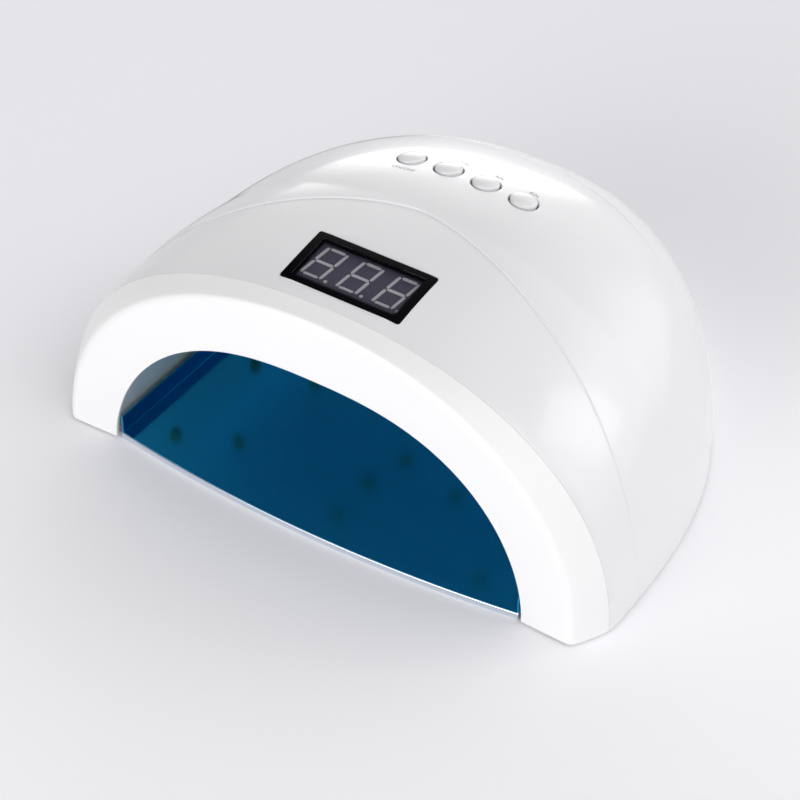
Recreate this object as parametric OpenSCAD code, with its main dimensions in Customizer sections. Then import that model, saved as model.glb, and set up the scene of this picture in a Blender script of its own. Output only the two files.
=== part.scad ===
// Free-standing LED nail lamp: a D-shaped domed housing with an arched hand
// opening, a sloping three-digit display, four push buttons on the crown, a
// mirror-lined cavity and a sheet-metal tray that slides out at the front.
// Places along the depth are given as s, measured back from the front face.
// Arches run from the right foot (angle 0) over the crown (90) to the left foot.

/* [Housing] */
// Width of the housing at its widest
lamp_w = 220; // [190:1:250]
// Depth from the front face to the flat rear pad
lamp_d = 170; // [160:1:190]
// Height of the housing's crest above the table
lamp_h = 90.9; // [84:0.1:100]
// Height of the housing's lower edge above the table
foot_h = 0.8; // [0.4:0.1:2]
// Wall of the moulded housing
wall = 2.4; // [2:0.1:3]
// How far the dome stands out behind the front crease
crease_step = 0.9; // [0.3:0.1:1.5]
// How far the back stands out behind the rear crease
rear_step = 0.5; // [0.2:0.1:1]

/* [Front arch] */
// Half width of the front face at the table
face_a = 102.6; // [95:0.1:105]
// Crown height of the front face
face_h = 84.5; // [80:0.1:90]
// Depth of the front arch
arch_d = 12.3; // [10:0.1:16]
// How far the front face leans back for each millimetre of its height
face_lean = 0.057; // [0:0.001:0.1]
// Half width of the hand opening at the table
opening_a = 83.2; // [75:0.1:86]
// Crown height of the hand opening
opening_h = 61.2; // [55:0.1:66]

/* [Display] */
// Width of the display window
window_w = 46.2; // [40:0.1:52]
// Length of the display window along its slope
window_l = 23.3; // [20:0.1:26]
// Place of the window's middle behind the front face
window_s = 29.7; // [28:0.1:34]
// Slope of the window, rising to the back
window_tilt = 7.7; // [4:0.1:12]
// Distance from digit to digit
digit_pitch = 14.1; // [12:0.1:14.2]
// Height of a digit
digit_h = 14.5; // [12:0.1:15]
// Width of a digit
digit_w = 8.6; // [7:0.1:9]
// Slant of the digits
digit_slant = 8.6; // [0:0.1:12]

/* [Buttons] */
// Diameter of a button cap
button_d = 9.5; // [8:0.1:11]
// Distance from button to button
button_pitch = 15; // [13:0.1:17]
// Place of the button row behind the front face
button_s = 95; // [90:0.1:105]
// How far a button moves when it is pressed
button_travel = 0.5; // [0.3:0.05:0.8]

/* [Cavity and tray] */
// Wall of the inner reflector
liner_wall = 1.8; // [1.4:0.1:2.4]
// Depth at which the reflector's back wall stands
liner_end = 153.5; // [148:0.5:156]
// Half width of the tray
tray_a = 81.6; // [70:0.1:81.8]
// Height of the tray's sheet above the table
tray_lift = 1.8; // [1:0.1:2.5]
// Height of the tray's upturned flanges
flange_h = 7.6; // [4:0.1:8]
// Thickness of the tray's sheet
sheet = 0.6; // [0.4:0.1:1]

/* [Lamps] */
// Diameter of an LED lens
lens_d = 5; // [4:0.1:6]
// Clearance round a lens in the reflector
lens_gap = 0.4; // [0.2:0.1:0.6]

/* [Hidden] */

half_w = lamp_w / 2;
nose = 5;                         // the tray's front edge stands this far before the face
mid_s = (lamp_d - nose) / 2;      // the frame's origin, half way along the whole depth
crest_s = 56;                     // the canopy's parabola peaks here
crease_top = 67.4;                // the front crease on the centre line
crease_foot = 28;                 // the same crease at the table
rear_top = 132;                   // the rear crease on the centre line
rear_sweep = 26;                  // how far it comes forward at the table
dome_s = 68.3;                    // the dome's own curve starts here
dome_h = 90.5;
dome_reach = 173;                 // where the dome's curve would meet the table
wide_s = 15;                      // the housing is widest here
step_run = 14;                    // a crease's step eases out over this length
riser_run = 0.6;                  // its first part is a small riser of this length
riser_share = 0.5;                // and of this share of the step's height
rim_h = 85.6;                     // crown height where the front arch meets the housing
rim_n = 2.22;                     // fullness of the arch there
crest_n = 2.1;                    // fullness over the crest
back_n = 2.6;                     // fullness where the dome would meet the table
face_n = 2.07;                    // fullness of the front face
face_bow = 0.5;                   // the face's outer edge comes forward by this much
opening_n = 2.59;                 // fullness of the hand opening's sides
opening_m = 1.83;                 // and of its top
window_sink = 1.25;               // the window's face lies this far below the crown line
window_t = 1.6;                   // thickness of the window
module_top = -1.9;                // the digit module's face, below the window's face
module_t = 7.8;                   // height of the digit module
module_y = 0.9;                   // its middle lies behind the window's middle
display_board_z = -11.4;          // the display board's top, below the window's face
circuit_t = 1.6;                  // thickness of both circuit boards
post_r = 3.6;                     // housing posts that take the base screws
ring_t = 2.2;                     // thickness of the base ring
ring_start = 4.8;                 // where the base ring's two ends stand in the front arch
arch_wall_s = 4.2;                // back of the front arch's face wall
lip_s = 1.2;                      // back of the thin lip round the hand opening
board_drop = 13.5;                // the key board's top, below the housing at the buttons
switch_h = 3.5;                   // height of a tact switch
board_gap = 2.2;                  // LED boards stand this far off the reflector
led_board_t = 1.2;                // thickness of an LED board
jack_z = 11;                      // height of the power inlet's axis
jack_bore = 2.8;                  // radius of the inlet's bore
straight_s = 55;                  // the reflector's sides are straight up to here
level_s = 40;                     // the reflector's crown is level up to here
liner_reach = 157;                // where the reflector's curve would meet the table
tray_back = 148;                  // back edge of the tray
rows_front = 8;
rows_dome = 11;
rows_rear = 7;
arc_steps = 40;
eps = 0.01;

// The frame's y for a place s behind the front face
function y_of(s) = s - mid_s;

// Signed power, for superellipse arches
function spow(v, e) = sign(v) * pow(abs(v), e);

// Half width of the housing's base outline at s
function half_at(s) = s < wide_s
    ? half_w - (half_w - face_a) * pow((wide_s - s) / wide_s, 1.4)
    : half_w * pow(1 - pow(min((s - wide_s) / (dome_reach - wide_s), 1), 2.7), 1 / 1.7);

// Crown height of the housing at s: a parabola over the canopy, then the dome
function crown_at(s) = s < dome_s
    ? lamp_h - (lamp_h - rim_h) * pow((s - crest_s) / (crest_s - arch_d), 2)
    : dome_h * pow(1 - pow(min((s - dome_s) / (dome_reach - dome_s), 1), 2), 1 / 2.35);

// Fullness of the arch at s, rounder at the front and squarer at the back
function fullness_at(s) = s < dome_s
    ? rim_n + (crest_n - rim_n) * (s - arch_d) / (dome_s - arch_d)
    : crest_n + (back_n - crest_n) * (s - dome_s) / (dome_reach - dome_s);

// Where the two creases cross the arch at angle t
function crease_s(t) = crease_top - (crease_top - crease_foot) * pow(abs(cos(t)), 1.35);
function rear_s(t) = rear_top - rear_sweep * pow(cos(t), 2);

// How far a step has risen at s, from 0 at the crease to 1: a riser, then a gentle swell
function part_of(value) = min(max(value, 0), 1);
function rise(s, from) = riser_share * part_of((s - from) / riser_run)
    + (1 - riser_share) * (1 - pow(1 - part_of((s - from) / step_run), 2));
function swell(s, t) = 1 + sin(t) * (crease_step * rise(s, crease_s(t))
    + rear_step * rise(s, rear_s(t))) / 100;

// A point of the housing's outer surface, as [x, y, z], pulled in by inset
function shell_point(s, t, inset = 0) = let(
    n = fullness_at(s), k = swell(s, t), back = max(s - dome_s, 0) / (lamp_d - dome_s))
    [half_at(s) * spow(cos(t), 2 / n) * k * (1 - inset / half_w),
     y_of(s - inset * back),
     foot_h + (crown_at(s) * k - foot_h) * pow(sin(t), 2 / n) * (1 - inset / lamp_h)];

// The s of row v at angle t: 0 to 1 over the canopy, to 2 over the dome, to 3 over the back;
// the dome and the back start behind their risers
function row_s(v, t) = v <= 1 ? arch_d + v * (crease_s(t) - arch_d)
    : v <= 2 ? rear_s(t) + (2 - v) * (crease_s(t) + riser_run - rear_s(t))
    : lamp_d + (1 - sin((v - 2) * 90)) * (rear_s(t) + riser_run - lamp_d);

// Joins rows of points, each a closed loop of equal length, into one closed solid
module skin(rows) {
    n = len(rows[0]);
    m = len(rows);
    sides = [for (i = [0:m - 2]) for (j = [0:n - 1])
        let(a = i * n + j, b = i * n + (j + 1) % n) each [[a, b, a + n], [b, b + n, a + n]]];
    near = [for (j = [n - 1:-1:0]) j];
    far = [for (j = [0:n - 1]) (m - 1) * n + j];
    polyhedron(points = [for (r = rows) each r], faces = concat(sides, [near, far]), convexity = 8);
}

// The housing's outer form, filled
module shell_form() {
    levels = concat([for (i = [0:rows_front]) i / rows_front],
        [1 + eps / 10], [for (i = [1:rows_dome]) 1 + i / rows_dome],
        [2 + eps / 10], [for (i = [1:rows_rear]) 2 + i / rows_rear]);
    skin([for (v = levels) [for (i = [0:arc_steps]) let(t = 180 * i / arc_steps)
        shell_point(row_s(v, t), t)]]);
}

// The hollow inside the housing, open at the front and below
hollow_levels = concat([for (i = [0:5]) i / 5], [for (i = [7:18]) i / 6]);
module shell_hollow() {
    steps = 28;
    below = 3;
    skin([for (v = concat([-0.2], hollow_levels)) let(arc = [for (i = [0:steps]) let(t = 180 * i / steps)
            shell_point(row_s(v, t), t, wall)])
        concat([arc[0] - [0, 0, below]], arc, [arc[steps] - [0, 0, below]])]);
}

// Places children on the crown line at s, with z along the outward normal
module on_crown(s, tilt, drop = 0) {
    translate([0, y_of(s), crown_at(s)]) rotate([tilt, 0, 0]) translate([0, 0, -drop]) children();
}

// The display's own frame: z = 0 is the window's outer face
module display_frame() {
    on_crown(window_s, window_tilt, window_sink) children();
}

// Slope of the crown line under the buttons, falling to the back
button_slope = atan((crown_at(button_s + 1) - crown_at(button_s - 1)) / 2);
button_x = [for (i = [-1.5:1:1.5]) i * button_pitch];
button_gap = 0.35;

// Height of the housing at the button row for a distance x from the centre line
function row_z(x) = let(n = fullness_at(button_s))
    crown_at(button_s) * pow(1 - pow(abs(x) / half_at(button_s), n), 1 / n) * (1 + crease_step / 100);
function row_lean(x) = atan((row_z(x - 0.5) - row_z(x + 0.5)));

// One button's own frame: z = 0 is the housing's outer surface
module button_frame(x) {
    translate([x, y_of(button_s), row_z(x)]) rotate([button_slope, 0, 0]) rotate([0, row_lean(x), 0])
        children();
}

// The key board's own frame: z = 0 is the board's top face
module board_frame() {
    translate([0, y_of(button_s), row_z(0)]) rotate([button_slope, 0, 0])
        translate([0, 0, -board_drop]) children();
}

// Height of a switch plunger's top below a cap's frame, and the length of the cap's stem,
// which leans inward, so that its switch stands nearer to the centre line
plunger_top = 0.6;
plunger_in = 1.3;
function stem_drop(x) = board_drop - switch_h - plunger_top - (row_z(0) - row_z(x)) * cos(button_slope);
function stem_len(x) = stem_drop(x) / cos(row_lean(x));
function switch_x(x) = x - stem_drop(x) * tan(row_lean(x));

// Rounded rectangle centred on the origin
module plate(w, l, h, r = 1.5) {
    linear_extrude(h) union() {
        square([w - 2 * r, l], center = true);
        square([w, l - 2 * r], center = true);
        for (x = [-1, 1], y = [-1, 1]) translate([x * (w / 2 - r), y * (l / 2 - r)]) circle(r = r, $fn = 32);
    }
}

// Places of the posts that take the base screws, as [x, s]
base_posts = [[97, 46], [94.5, 77], [82.8, 112], [-97, 46], [-94.5, 77], [-82.8, 112]];
// Board posts, in each board's own frame
display_posts = [[-27, -9], [27, -9], [-27, 9], [27, 9]];
key_posts = [[-36, -12], [36, -12], [-36, 12], [36, 12]];
board_post_r = 2.7;
board_pilot_r = 0.95;
base_pilot_r = 1.1;
pilot_depth = 6;

module top_shell() {
    seat_w = 54;
    seat_l = 27.2;
    seat_z = -4.2;
    color("white") difference() {
        union() {
            difference() {
                shell_form();
                shell_hollow();
            }
            intersection() {
                shell_form();
                union() {
                    display_frame() translate([0, 0, seat_z]) plate(seat_w, seat_l, -2 * seat_z, 3);
                    for (p = base_posts) translate([p[0], y_of(p[1]), foot_h + ring_t])
                        cylinder(r = post_r, h = lamp_h, $fn = 32);
                    display_frame() for (p = display_posts) translate([p[0], p[1], display_board_z])
                        cylinder(r = board_post_r, h = -display_board_z, $fn = 32);
                    board_frame() for (p = key_posts) translate([p[0], p[1], 0])
                        cylinder(r = board_post_r, h = board_drop, $fn = 32);
                }
            }
        }
        display_cuts();
        for (x = button_x) button_frame(x) translate([0, 0, -4 * wall])
            cylinder(d = button_d + 2 * button_gap, h = 6 * wall, $fn = 48);
        translate([0, y_of(lamp_d) + 1, jack_z]) rotate([90, 0, 0])
            cylinder(r = jack_nose + 0.3, h = jack_depth, $fn = 48);
        for (p = base_posts) translate([p[0], y_of(p[1]), foot_h])
            cylinder(r = base_pilot_r, h = 2 * pilot_depth, $fn = 24);
        board_frame() for (p = key_posts) translate([p[0], p[1], -eps])
            cylinder(r = board_pilot_r, h = pilot_depth, $fn = 24);
        display_frame() for (p = display_posts) translate([p[0], p[1], display_board_z - eps])
            cylinder(r = board_pilot_r, h = pilot_depth, $fn = 24);
    }
}

// The flat pad for the window, its seat and the opening below it
module display_cuts() {
    half_l = window_l / 2;
    border = 1.2;
    behind = 0.8;
    ramp = 5;
    ramp_h = 2.6;
    play = 0.3;
    deep = 6;
    display_frame() {
        // the pad ends behind the window in a shallow ramp
        rotate([90, 0, 90]) translate([0, 0, -window_w / 2 - border]) linear_extrude(window_w + 2 * border)
            polygon([[-half_l - border, 0], [half_l + behind, 0], [half_l + behind + ramp, ramp_h],
                [-half_l - border, ramp_h]]);
        translate([0, 0, -window_t]) plate(window_w + play, window_l + play, deep, 1.8);
        translate([0, module_y, -deep]) plate(module_w + 2 * play, module_l + 2 * play, deep, 1);
    }
}

// How far a place of the front arch leans back at height z, fading out to the arch's back
function lean(s, z, bow = 0) = (face_lean * z - bow) * max(1 - s / arch_d, 0);

// One arch of the front ring's section: mix 0 is the opening and 1 the outer face,
// out moves it outward, and s is its depth
function ring_point(mix_f, out, s, t) = let(
    f = min(s / arch_d, 1),
    a = mix_f * half_at(min(s, arch_d)) + (1 - mix_f) * opening_a + out,
    h = mix_f * (face_h + (rim_h - face_h) * f) + (1 - mix_f) * opening_h + out,
    outer_n = face_n + (rim_n - face_n) * f,
    n = mix_f * outer_n + (1 - mix_f) * opening_n,
    m = mix_f * outer_n + (1 - mix_f) * opening_m,
    z = foot_h + (h - foot_h) * pow(sin(t), 2 / m))
    [a * spow(cos(t), 2 / n), y_of(s + lean(s, z, mix_f * face_bow)), z];

// The moulded front ring: a channel open to the back, with a tongue into the housing
module front_arch() {
    tongue = 3.5;
    section = [[1, -2, 0], [1, -1, 0.2], [1, -0.3, 0.8], [1, 0, 1.6], [1, 0, arch_d / 2],
        [1, 0, arch_d - 0.1], [1, -0.1, arch_d], [1, -3, arch_d], [1, -3, arch_d + tongue],
        [1, -4.8, arch_d + tongue], [1, -4.8, arch_d - 2], [1, -4.2, 3.6],
        [0, 5, arch_wall_s], [0, 5, arch_d], [0, 3.2, arch_d], [0, 3.2, lip_s],
        [0, 0, lip_s], [0, 0, 0.35], [0, 0.35, 0]];
    steps = 40;
    color("white") skin([for (i = [0:steps]) let(t = 180 * i / steps)
        [for (p = section) ring_point(p[0], p[1], p[2], t)]]);
}

// Half width and crown height of the reflector's outer surface at s
liner_a = opening_a + 2.8;
liner_h = opening_h + 2.8;
function liner_half(s) = s < straight_s ? liner_a
    : liner_a * pow(1 - pow(min((s - straight_s) / (liner_reach - straight_s), 1), 2.4), 0.5);
function liner_crown(s) = s < level_s ? liner_h
    : liner_h * pow(1 - pow(min((s - level_s) / (liner_reach - level_s), 1), 2.6), 1 / 2.2);
function liner_point(s, t, inset = 0) = let(
    more = 0.2 * s / liner_reach, back = max(s - straight_s, 0) / (liner_end - straight_s),
    z = foot_h + (liner_crown(s) - foot_h) * pow(sin(t), 2 / (opening_m + more)) * (1 - inset / liner_h))
    [liner_half(s) * spow(cos(t), 2 / (opening_n + more)) * (1 - inset / liner_a),
     y_of(s - inset * back + lean(s, z)), z];

module liner_form(inset, from, below) {
    steps = 30;
    count = 10;
    stations = concat([from, arch_d, 22, level_s, straight_s],
        [for (i = [1:count]) straight_s + sin(90 * i / count) * (liner_end - straight_s)]);
    skin([for (s = stations) let(arc = [for (i = [0:steps]) liner_point(s, 180 * i / steps, inset)])
        concat([arc[0] - [0, 0, below]], arc, [arc[steps] - [0, 0, below]])]);
}

// Boards that carry the LEDs: place s, arch angle t, length, width, the LEDs and the screws,
// each as [u, v], with u along the board to the back and v across it
led_left_crown = [69, 105, 30, 16, [[-10, 0], [10, 0]], [[0, -5], [0, 5]]];
led_right_crown = [69, 75, 30, 16, [[-10, 0], [10, 0]], [[0, -5], [0, 5]]];
led_rear_crown = [98, 90, 24, 58, [[-7, 0], [-2, -25], [-2, 25]], [[5, -10], [5, 10]]];
led_left = [52, 149.5, 62, 26, [[-24, 9.3], [0, -9.3], [24, 9.3]], [[-27, -8], [27, -8]]];
led_right = [52, 30.5, 62, 26, [[-24, -9.3], [0, 9.3], [24, -9.3]], [[-27, 8], [27, 8]]];
led_rear_left = [108, 140, 40, 16, [for (u = [-13, 0, 13]) [u, 0]], [[-17, 3], [17, -3]]];
led_rear_right = [108, 40, 40, 16, [for (u = [-13, 0, 13]) [u, 0]], [[-17, -3], [17, 3]]];
led_zones = [led_left_crown, led_right_crown, led_rear_crown, led_left, led_right, led_rear_left,
    led_rear_right];

function unit(v) = v / norm(v);
// Places children on the reflector's outer surface: x runs to the back, z points outward
module on_liner(s, t) {
    p = liner_point(s, t);
    u = unit(liner_point(s + 1, t) - liner_point(s - 1, t));
    v = unit(liner_point(s, t + 1) - liner_point(s, t - 1));
    n = unit(cross(u, v));
    w = cross(n, u);
    multmatrix([[u[0], w[0], n[0], p[0]], [u[1], w[1], n[1], p[1]], [u[2], w[2], n[2], p[2]], [0, 0, 0, 1]])
        children();
}

// A zone's own frame: z = 0 is the underside of its LED board
module in_zone(z) {
    on_liner(z[0], z[1]) translate([0, 0, board_gap]) children();
}

sensor_s = 16.4;
sensor_pad = 0.6;
sensor_r = 2.45;
flange_s = 78;
module inner_reflector() {
    foot_flange = 2.6;
    color("lightsteelblue") difference() {
        union() {
            liner_form(0, lip_s, 0);
            // posts under the LED boards, and a flat pad for the sensor
            for (z = led_zones) in_zone(z) for (p = z[5]) translate([p[0], p[1], -8])
                cylinder(r = 2.4, h = 8, $fn = 24);
            on_liner(sensor_s, 90) translate([-3.5, -7, -3]) cube([7, 14, 3 + sensor_pad]);
            // the flange that rests on the base ring
            translate([0, 0, foot_h + ring_t]) linear_extrude(1.2) polygon(concat(
                cavity_side(foot_flange, flange_s), mirrored(cavity_side(foot_flange, flange_s))));
        }
        liner_form(liner_wall, lip_s - 1, 3);
        for (z = led_zones) in_zone(z) for (b = z[4]) translate([b[0], b[1], -9])
            cylinder(d = lens_d + 2 * lens_gap, h = 9 + eps, $fn = 24);
        for (z = led_zones) in_zone(z) for (p = z[5]) translate([p[0], p[1], -2.8])
            cylinder(r = 1.15, h = 4, $fn = 24);
        on_liner(sensor_s, 90) translate([0, 0, -6]) cylinder(r = sensor_r + 0.05, h = 12, $fn = 24);
    }
}

module led_board(z) {
    in_zone(z) difference() {
        translate([-z[2] / 2, -z[3] / 2, 0]) cube([z[2], z[3], led_board_t]);
        for (p = z[5]) translate([p[0], p[1], -1]) cylinder(r = 1.3, h = 4, $fn = 24);
    }
}
module led_board_left_crown() { color("whitesmoke") led_board(led_left_crown); }
module led_board_right_crown() { color("whitesmoke") led_board(led_right_crown); }
module led_board_rear_crown() { color("whitesmoke") led_board(led_rear_crown); }
module led_board_left() { color("whitesmoke") led_board(led_left); }
module led_board_right() { color("whitesmoke") led_board(led_right); }
module led_board_rear_left() { color("whitesmoke") led_board(led_rear_left); }
module led_board_rear_right() { color("whitesmoke") led_board(led_rear_right); }

// An LED lens: a short cylinder on its board with a domed end
module bead() {
    mirror([0, 0, 1]) rotate_extrude($fn = 24) polygon(concat([[0, 0], [lens_d / 2, 0]],
        [for (a = [0:15:90]) [lens_d / 2 * cos(a), 3.4 + lens_d / 2 * sin(a)]]));
}
module led_beads() {
    color("palegoldenrod") for (z = led_zones) in_zone(z) for (b = z[4]) translate([b[0], b[1], 0]) bead();
}

module led_screws() {
    color("silver") for (z = led_zones) in_zone(z) for (p = z[5]) translate([p[0], p[1], led_board_t])
        pan_screw(1.1, 2.2, 1.1, led_board_t + 2.4);
}

// A small pan-head screw: z = 0 is the seat under its head, and its shank points down
module pan_screw(r, head_r, head_h, len) {
    slot_w = 0.5;
    difference() {
        union() {
            cylinder(r = head_r, h = head_h, $fn = 24);
            translate([0, 0, -len]) cylinder(r = r, h = len + eps, $fn = 24);
        }
        for (a = [0, 90]) rotate(a) translate([-head_r * 0.7, -slot_w / 2, head_h - slot_w])
            cube([head_r * 1.4, slot_w, 1]);
    }
}

// Base ring: the plate that closes the space between housing and reflector from below
magnet_s = [30, 66];
magnet_z = foot_h + 5.6;
magnet_r = 3.5;
feet = [[96, 27], [-96, 27], [67, 132], [-67, 132]];
foot_r = 4.2;
foot_sink = 0.8;
ring_play = 0.3;
arch_neck = 5;                    // the arch's two inner walls take this much of the ring's width
function ring_outer(inset) = concat(
    [for (s = [ring_start, arch_d + 4]) [half_at(s) - arch_neck - ring_play, y_of(s)]],
    [for (v = hollow_levels) if (v > 0.3) let(p = shell_point(row_s(v, 0), 0, inset)) [p[0], p[1]]]);
function mirrored(pts) = [for (i = [len(pts) - 1:-1:0]) [-pts[i][0], pts[i][1]]];
// Outline of the reflector's foot from one place to its back, moved outward
function foot_point(s, out) = [liner_half(s) + out,
    y_of(s) + out * max(s - straight_s, 0) / (liner_end - straight_s)];
function cavity_side(out, from) = concat([foot_point(from, out)],
    [for (i = [0:14]) let(s = straight_s + sin(90 * i / 14) * (liner_end - straight_s))
        if (s > from) foot_point(s, out)]);
module base_ring() {
    outer = ring_outer(wall + 0.5);
    neck = opening_a + arch_neck + ring_play;
    inner = concat([[neck, y_of(ring_start - 2)], [neck, y_of(arch_d + ring_play)]],
        cavity_side(ring_play, arch_d + ring_play));
    color("white") difference() {
        union() {
            translate([0, 0, foot_h]) linear_extrude(ring_t) difference() {
                polygon(concat(outer, mirrored(outer)));
                polygon(concat(inner, mirrored(inner)));
            }
            // holders for the magnets, and a cradle for the power inlet
            for (side = [-1, 1], s = magnet_s) translate([side * (liner_a + 3.2), y_of(s), foot_h + 5])
                cube([4.4, 11, 10], center = true);
            translate([0, y_of(lamp_d - 9), 0]) {
                translate([-6.2, -5, foot_h]) cube([12.4, 10, jack_z - jack_half - foot_h]);
                for (side = [-1, 1]) translate([side * 5.4 - 0.8, -5, foot_h]) cube([1.6, 10, 9]);
            }
        }
        for (side = [-1, 1], s = magnet_s) translate([side * (liner_a + 0.5), y_of(s), magnet_z])
            rotate([0, side * 90, 0]) cylinder(r = magnet_r + 0.1, h = 3.2, $fn = 32);
        for (p = base_posts) translate([p[0], y_of(p[1]), 0]) {
            cylinder(r = 1.6, h = 8, $fn = 24);
            translate([0, 0, foot_h - 1]) cylinder(r = 3.1, h = 2, $fn = 24);
        }
        for (p = feet) translate([p[0], y_of(p[1]), foot_h - 1])
            cylinder(r = foot_r + 0.1, h = 1 + foot_sink, $fn = 32);
    }
}

module magnets() {
    color("silver") for (side = [-1, 1], s = magnet_s)
        translate([side * (liner_a + 0.6), y_of(s), magnet_z]) rotate([0, side * 90, 0])
            cylinder(r = magnet_r, h = 3.1, $fn = 32);
}

module rubber_feet() {
    color("dimgray") for (p = feet) translate([p[0], y_of(p[1]), 0]) rotate_extrude($fn = 32)
        polygon([[0, 0], [foot_r - 0.6, 0], [foot_r, 0.5], [foot_r, foot_h + foot_sink],
            [0, foot_h + foot_sink]]);
}

module base_screws() {
    color("silver") for (p = base_posts) translate([p[0], y_of(p[1]), foot_h + 1]) mirror([0, 0, 1])
        pan_screw(1, 2.8, 0.9, 9);
}

// The tray's plan: a bowed front edge, straight sides and a round back
function tray_front(x) = -nose + 6.25 * pow(x / 82, 2);
function tray_half(s, a) = s < straight_s ? a
    : a * pow(1 - pow(min((s - straight_s) / (tray_back + 1 - straight_s), 1), 2.6), 0.5);
function tray_side(a, back) = [for (i = [0:16]) let(s = straight_s + sin(90 * i / 16) * (back - straight_s))
    [tray_half(s, a), y_of(s)]];
function tray_plan(a, back, front_in = 0) = let(side = tray_side(a, back),
    front = [for (i = [0:20]) let(x = a * (i / 10 - 1)) [x, y_of(tray_front(x) + front_in)]])
    concat(front, side, mirrored(side));

// The tray: a raised sheet with upturned sides and back. Its front edge is bent down to the
// table, and four pressed feet carry the rest of it.
module reflector_tray() {
    flange_start = 1.5;
    hem = 1;
    pressed_feet = [[55, 40], [-55, 40], [45, 110], [-45, 110]];
    color("lightgray") {
        translate([0, 0, tray_lift]) linear_extrude(sheet) polygon(tray_plan(tray_a, tray_back));
        translate([0, 0, tray_lift]) linear_extrude(flange_h) difference() {
            polygon(tray_plan(tray_a, tray_back));
            polygon(tray_plan(tray_a - sheet, tray_back - sheet));
            translate([-half_w, y_of(flange_start - lamp_d)]) square([lamp_w, lamp_d]);
        }
        linear_extrude(tray_lift + eps) difference() {
            polygon(tray_plan(tray_a, tray_back));
            translate([0, hem]) polygon(tray_plan(tray_a + 1, tray_back));
        }
        for (p = pressed_feet) translate([p[0], y_of(p[1]), 0])
            cylinder(r1 = 3, r2 = 4, h = tray_lift + eps, $fn = 32);
    }
}

// The blue film on the tray stops just short of its front edge
module tray_film() {
    film = 0.2;
    front_in = 0.25;
    back_in = 0.9;
    play = 0.3;
    color("midnightblue") translate([0, 0, tray_lift + sheet]) linear_extrude(film)
        polygon(tray_plan(tray_a - sheet - play, tray_back - sheet - back_in, front_in));
}

// Display: a smoked window, the LED module under it and its board
module display_window() {
    color("black") display_frame() translate([0, 0, -window_t]) plate(window_w, window_l, window_t, 1.6);
}

module_w = 41.6;
module_l = 19;
module display_module() {
    color("darkslategray") display_frame() translate([0, module_y, module_top - module_t])
        plate(module_w, module_l, module_t, 0.6);
}

// One bar of a digit, pointed at both ends
module bar(len, w) {
    polygon([[-len / 2, 0], [-len / 2 + w / 2, w / 2], [len / 2 - w / 2, w / 2], [len / 2, 0],
        [len / 2 - w / 2, -w / 2], [-len / 2 + w / 2, -w / 2]]);
}
module digit() {
    w = 1.1;
    gap = 0.25;
    arm = (digit_h - w) / 2;
    upright = digit_h / 2 - 2 * gap;
    point_r = 0.65;
    multmatrix([[1, tan(digit_slant), 0, 0], [0, 1, 0, 0], [0, 0, 1, 0], [0, 0, 0, 1]]) {
        for (y = [-arm, arm]) translate([0, y]) bar(digit_w - 2 * w - 2 * gap, w);
        bar(digit_w - w - 2 * gap, w);
        for (x = [-1, 1], y = [-1, 1]) translate([x * (digit_w - w) / 2, y * (gap + upright / 2)]) rotate(90)
            bar(upright, w);
    }
    translate([digit_w / 2 + point_r + 0.1, -digit_h / 2 + 0.3]) circle(r = point_r, $fn = 24);
}
module digit_segments() {
    shift = -0.3;
    raised = 0.2;
    color("lightgray") display_frame() for (i = [-1:1])
        translate([i * digit_pitch + shift, module_y, module_top]) linear_extrude(raised) digit();
}

module display_board() {
    lead_h = module_top - module_t - display_board_z;
    color("darkgreen") display_frame() {
        difference() {
            translate([0, 0, display_board_z - circuit_t]) plate(61, 26, circuit_t, 2);
            for (p = display_posts) translate([p[0], p[1], display_board_z - 3])
                cylinder(r = 1.2, h = 5, $fn = 24);
        }
        // the digit module's leads
        for (x = [-15:5:15], y = [-7.6, 7.6]) translate([x, y + module_y, display_board_z - eps])
            cylinder(r = 0.4, h = lead_h + eps, $fn = 16);
    }
}

// Key board under the buttons, with what is soldered to it
module control_board() {
    color("darkgreen") board_frame() difference() {
        translate([0, 0, -circuit_t]) plate(80, 32, circuit_t, 2);
        for (p = key_posts) translate([p[0], p[1], -3]) cylinder(r = 1.2, h = 5, $fn = 24);
    }
}
module tact_switches() {
    color("dimgray") board_frame() for (x = button_x) translate([switch_x(x), 0, 0]) difference() {
        translate([0, 0, switch_h / 2]) cube([6, 6, switch_h], center = true);
        translate([0, 0, switch_h - plunger_in - 2 * button_travel])
            cylinder(r = 1.85, h = switch_h, $fn = 24);
    }
}
module driver_chip() {
    color("black") board_frame() {
        translate([-5, -10, -circuit_t - 1.7]) cube([10, 6, 1.7]);
        for (i = [0:6], y = [-11.2, -4]) translate([-4.45 + i * 1.4, y, -circuit_t - 0.3])
            cube([0.5, 1.2, 0.3]);
    }
}
module buzzer() {
    color("black") board_frame() translate([20, 4, -circuit_t]) mirror([0, 0, 1]) difference() {
        cylinder(r = 6, h = 7, $fn = 48);
        translate([0, 0, 6]) cylinder(r = 1, h = 2, $fn = 24);
    }
}
module capacitors() {
    color("slateblue") board_frame() for (x = [-26, -16]) translate([x, 5, -circuit_t]) mirror([0, 0, 1])
        cylinder(r = 4, h = 7.5, $fn = 32);
}

// Where a place [y, z] of the display's frame or the key board's frame lies in the lamp's frame
function turned(p, a) = [p[0] * cos(a) - p[1] * sin(a), p[0] * sin(a) + p[1] * cos(a)];
function from_display(y, z) = [y_of(window_s), crown_at(window_s)]
    + turned([y, z - window_sink], window_tilt);
function from_key_board(y, z) = [y_of(button_s), row_z(0)]
    + turned([y, z - board_drop], button_slope);

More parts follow.
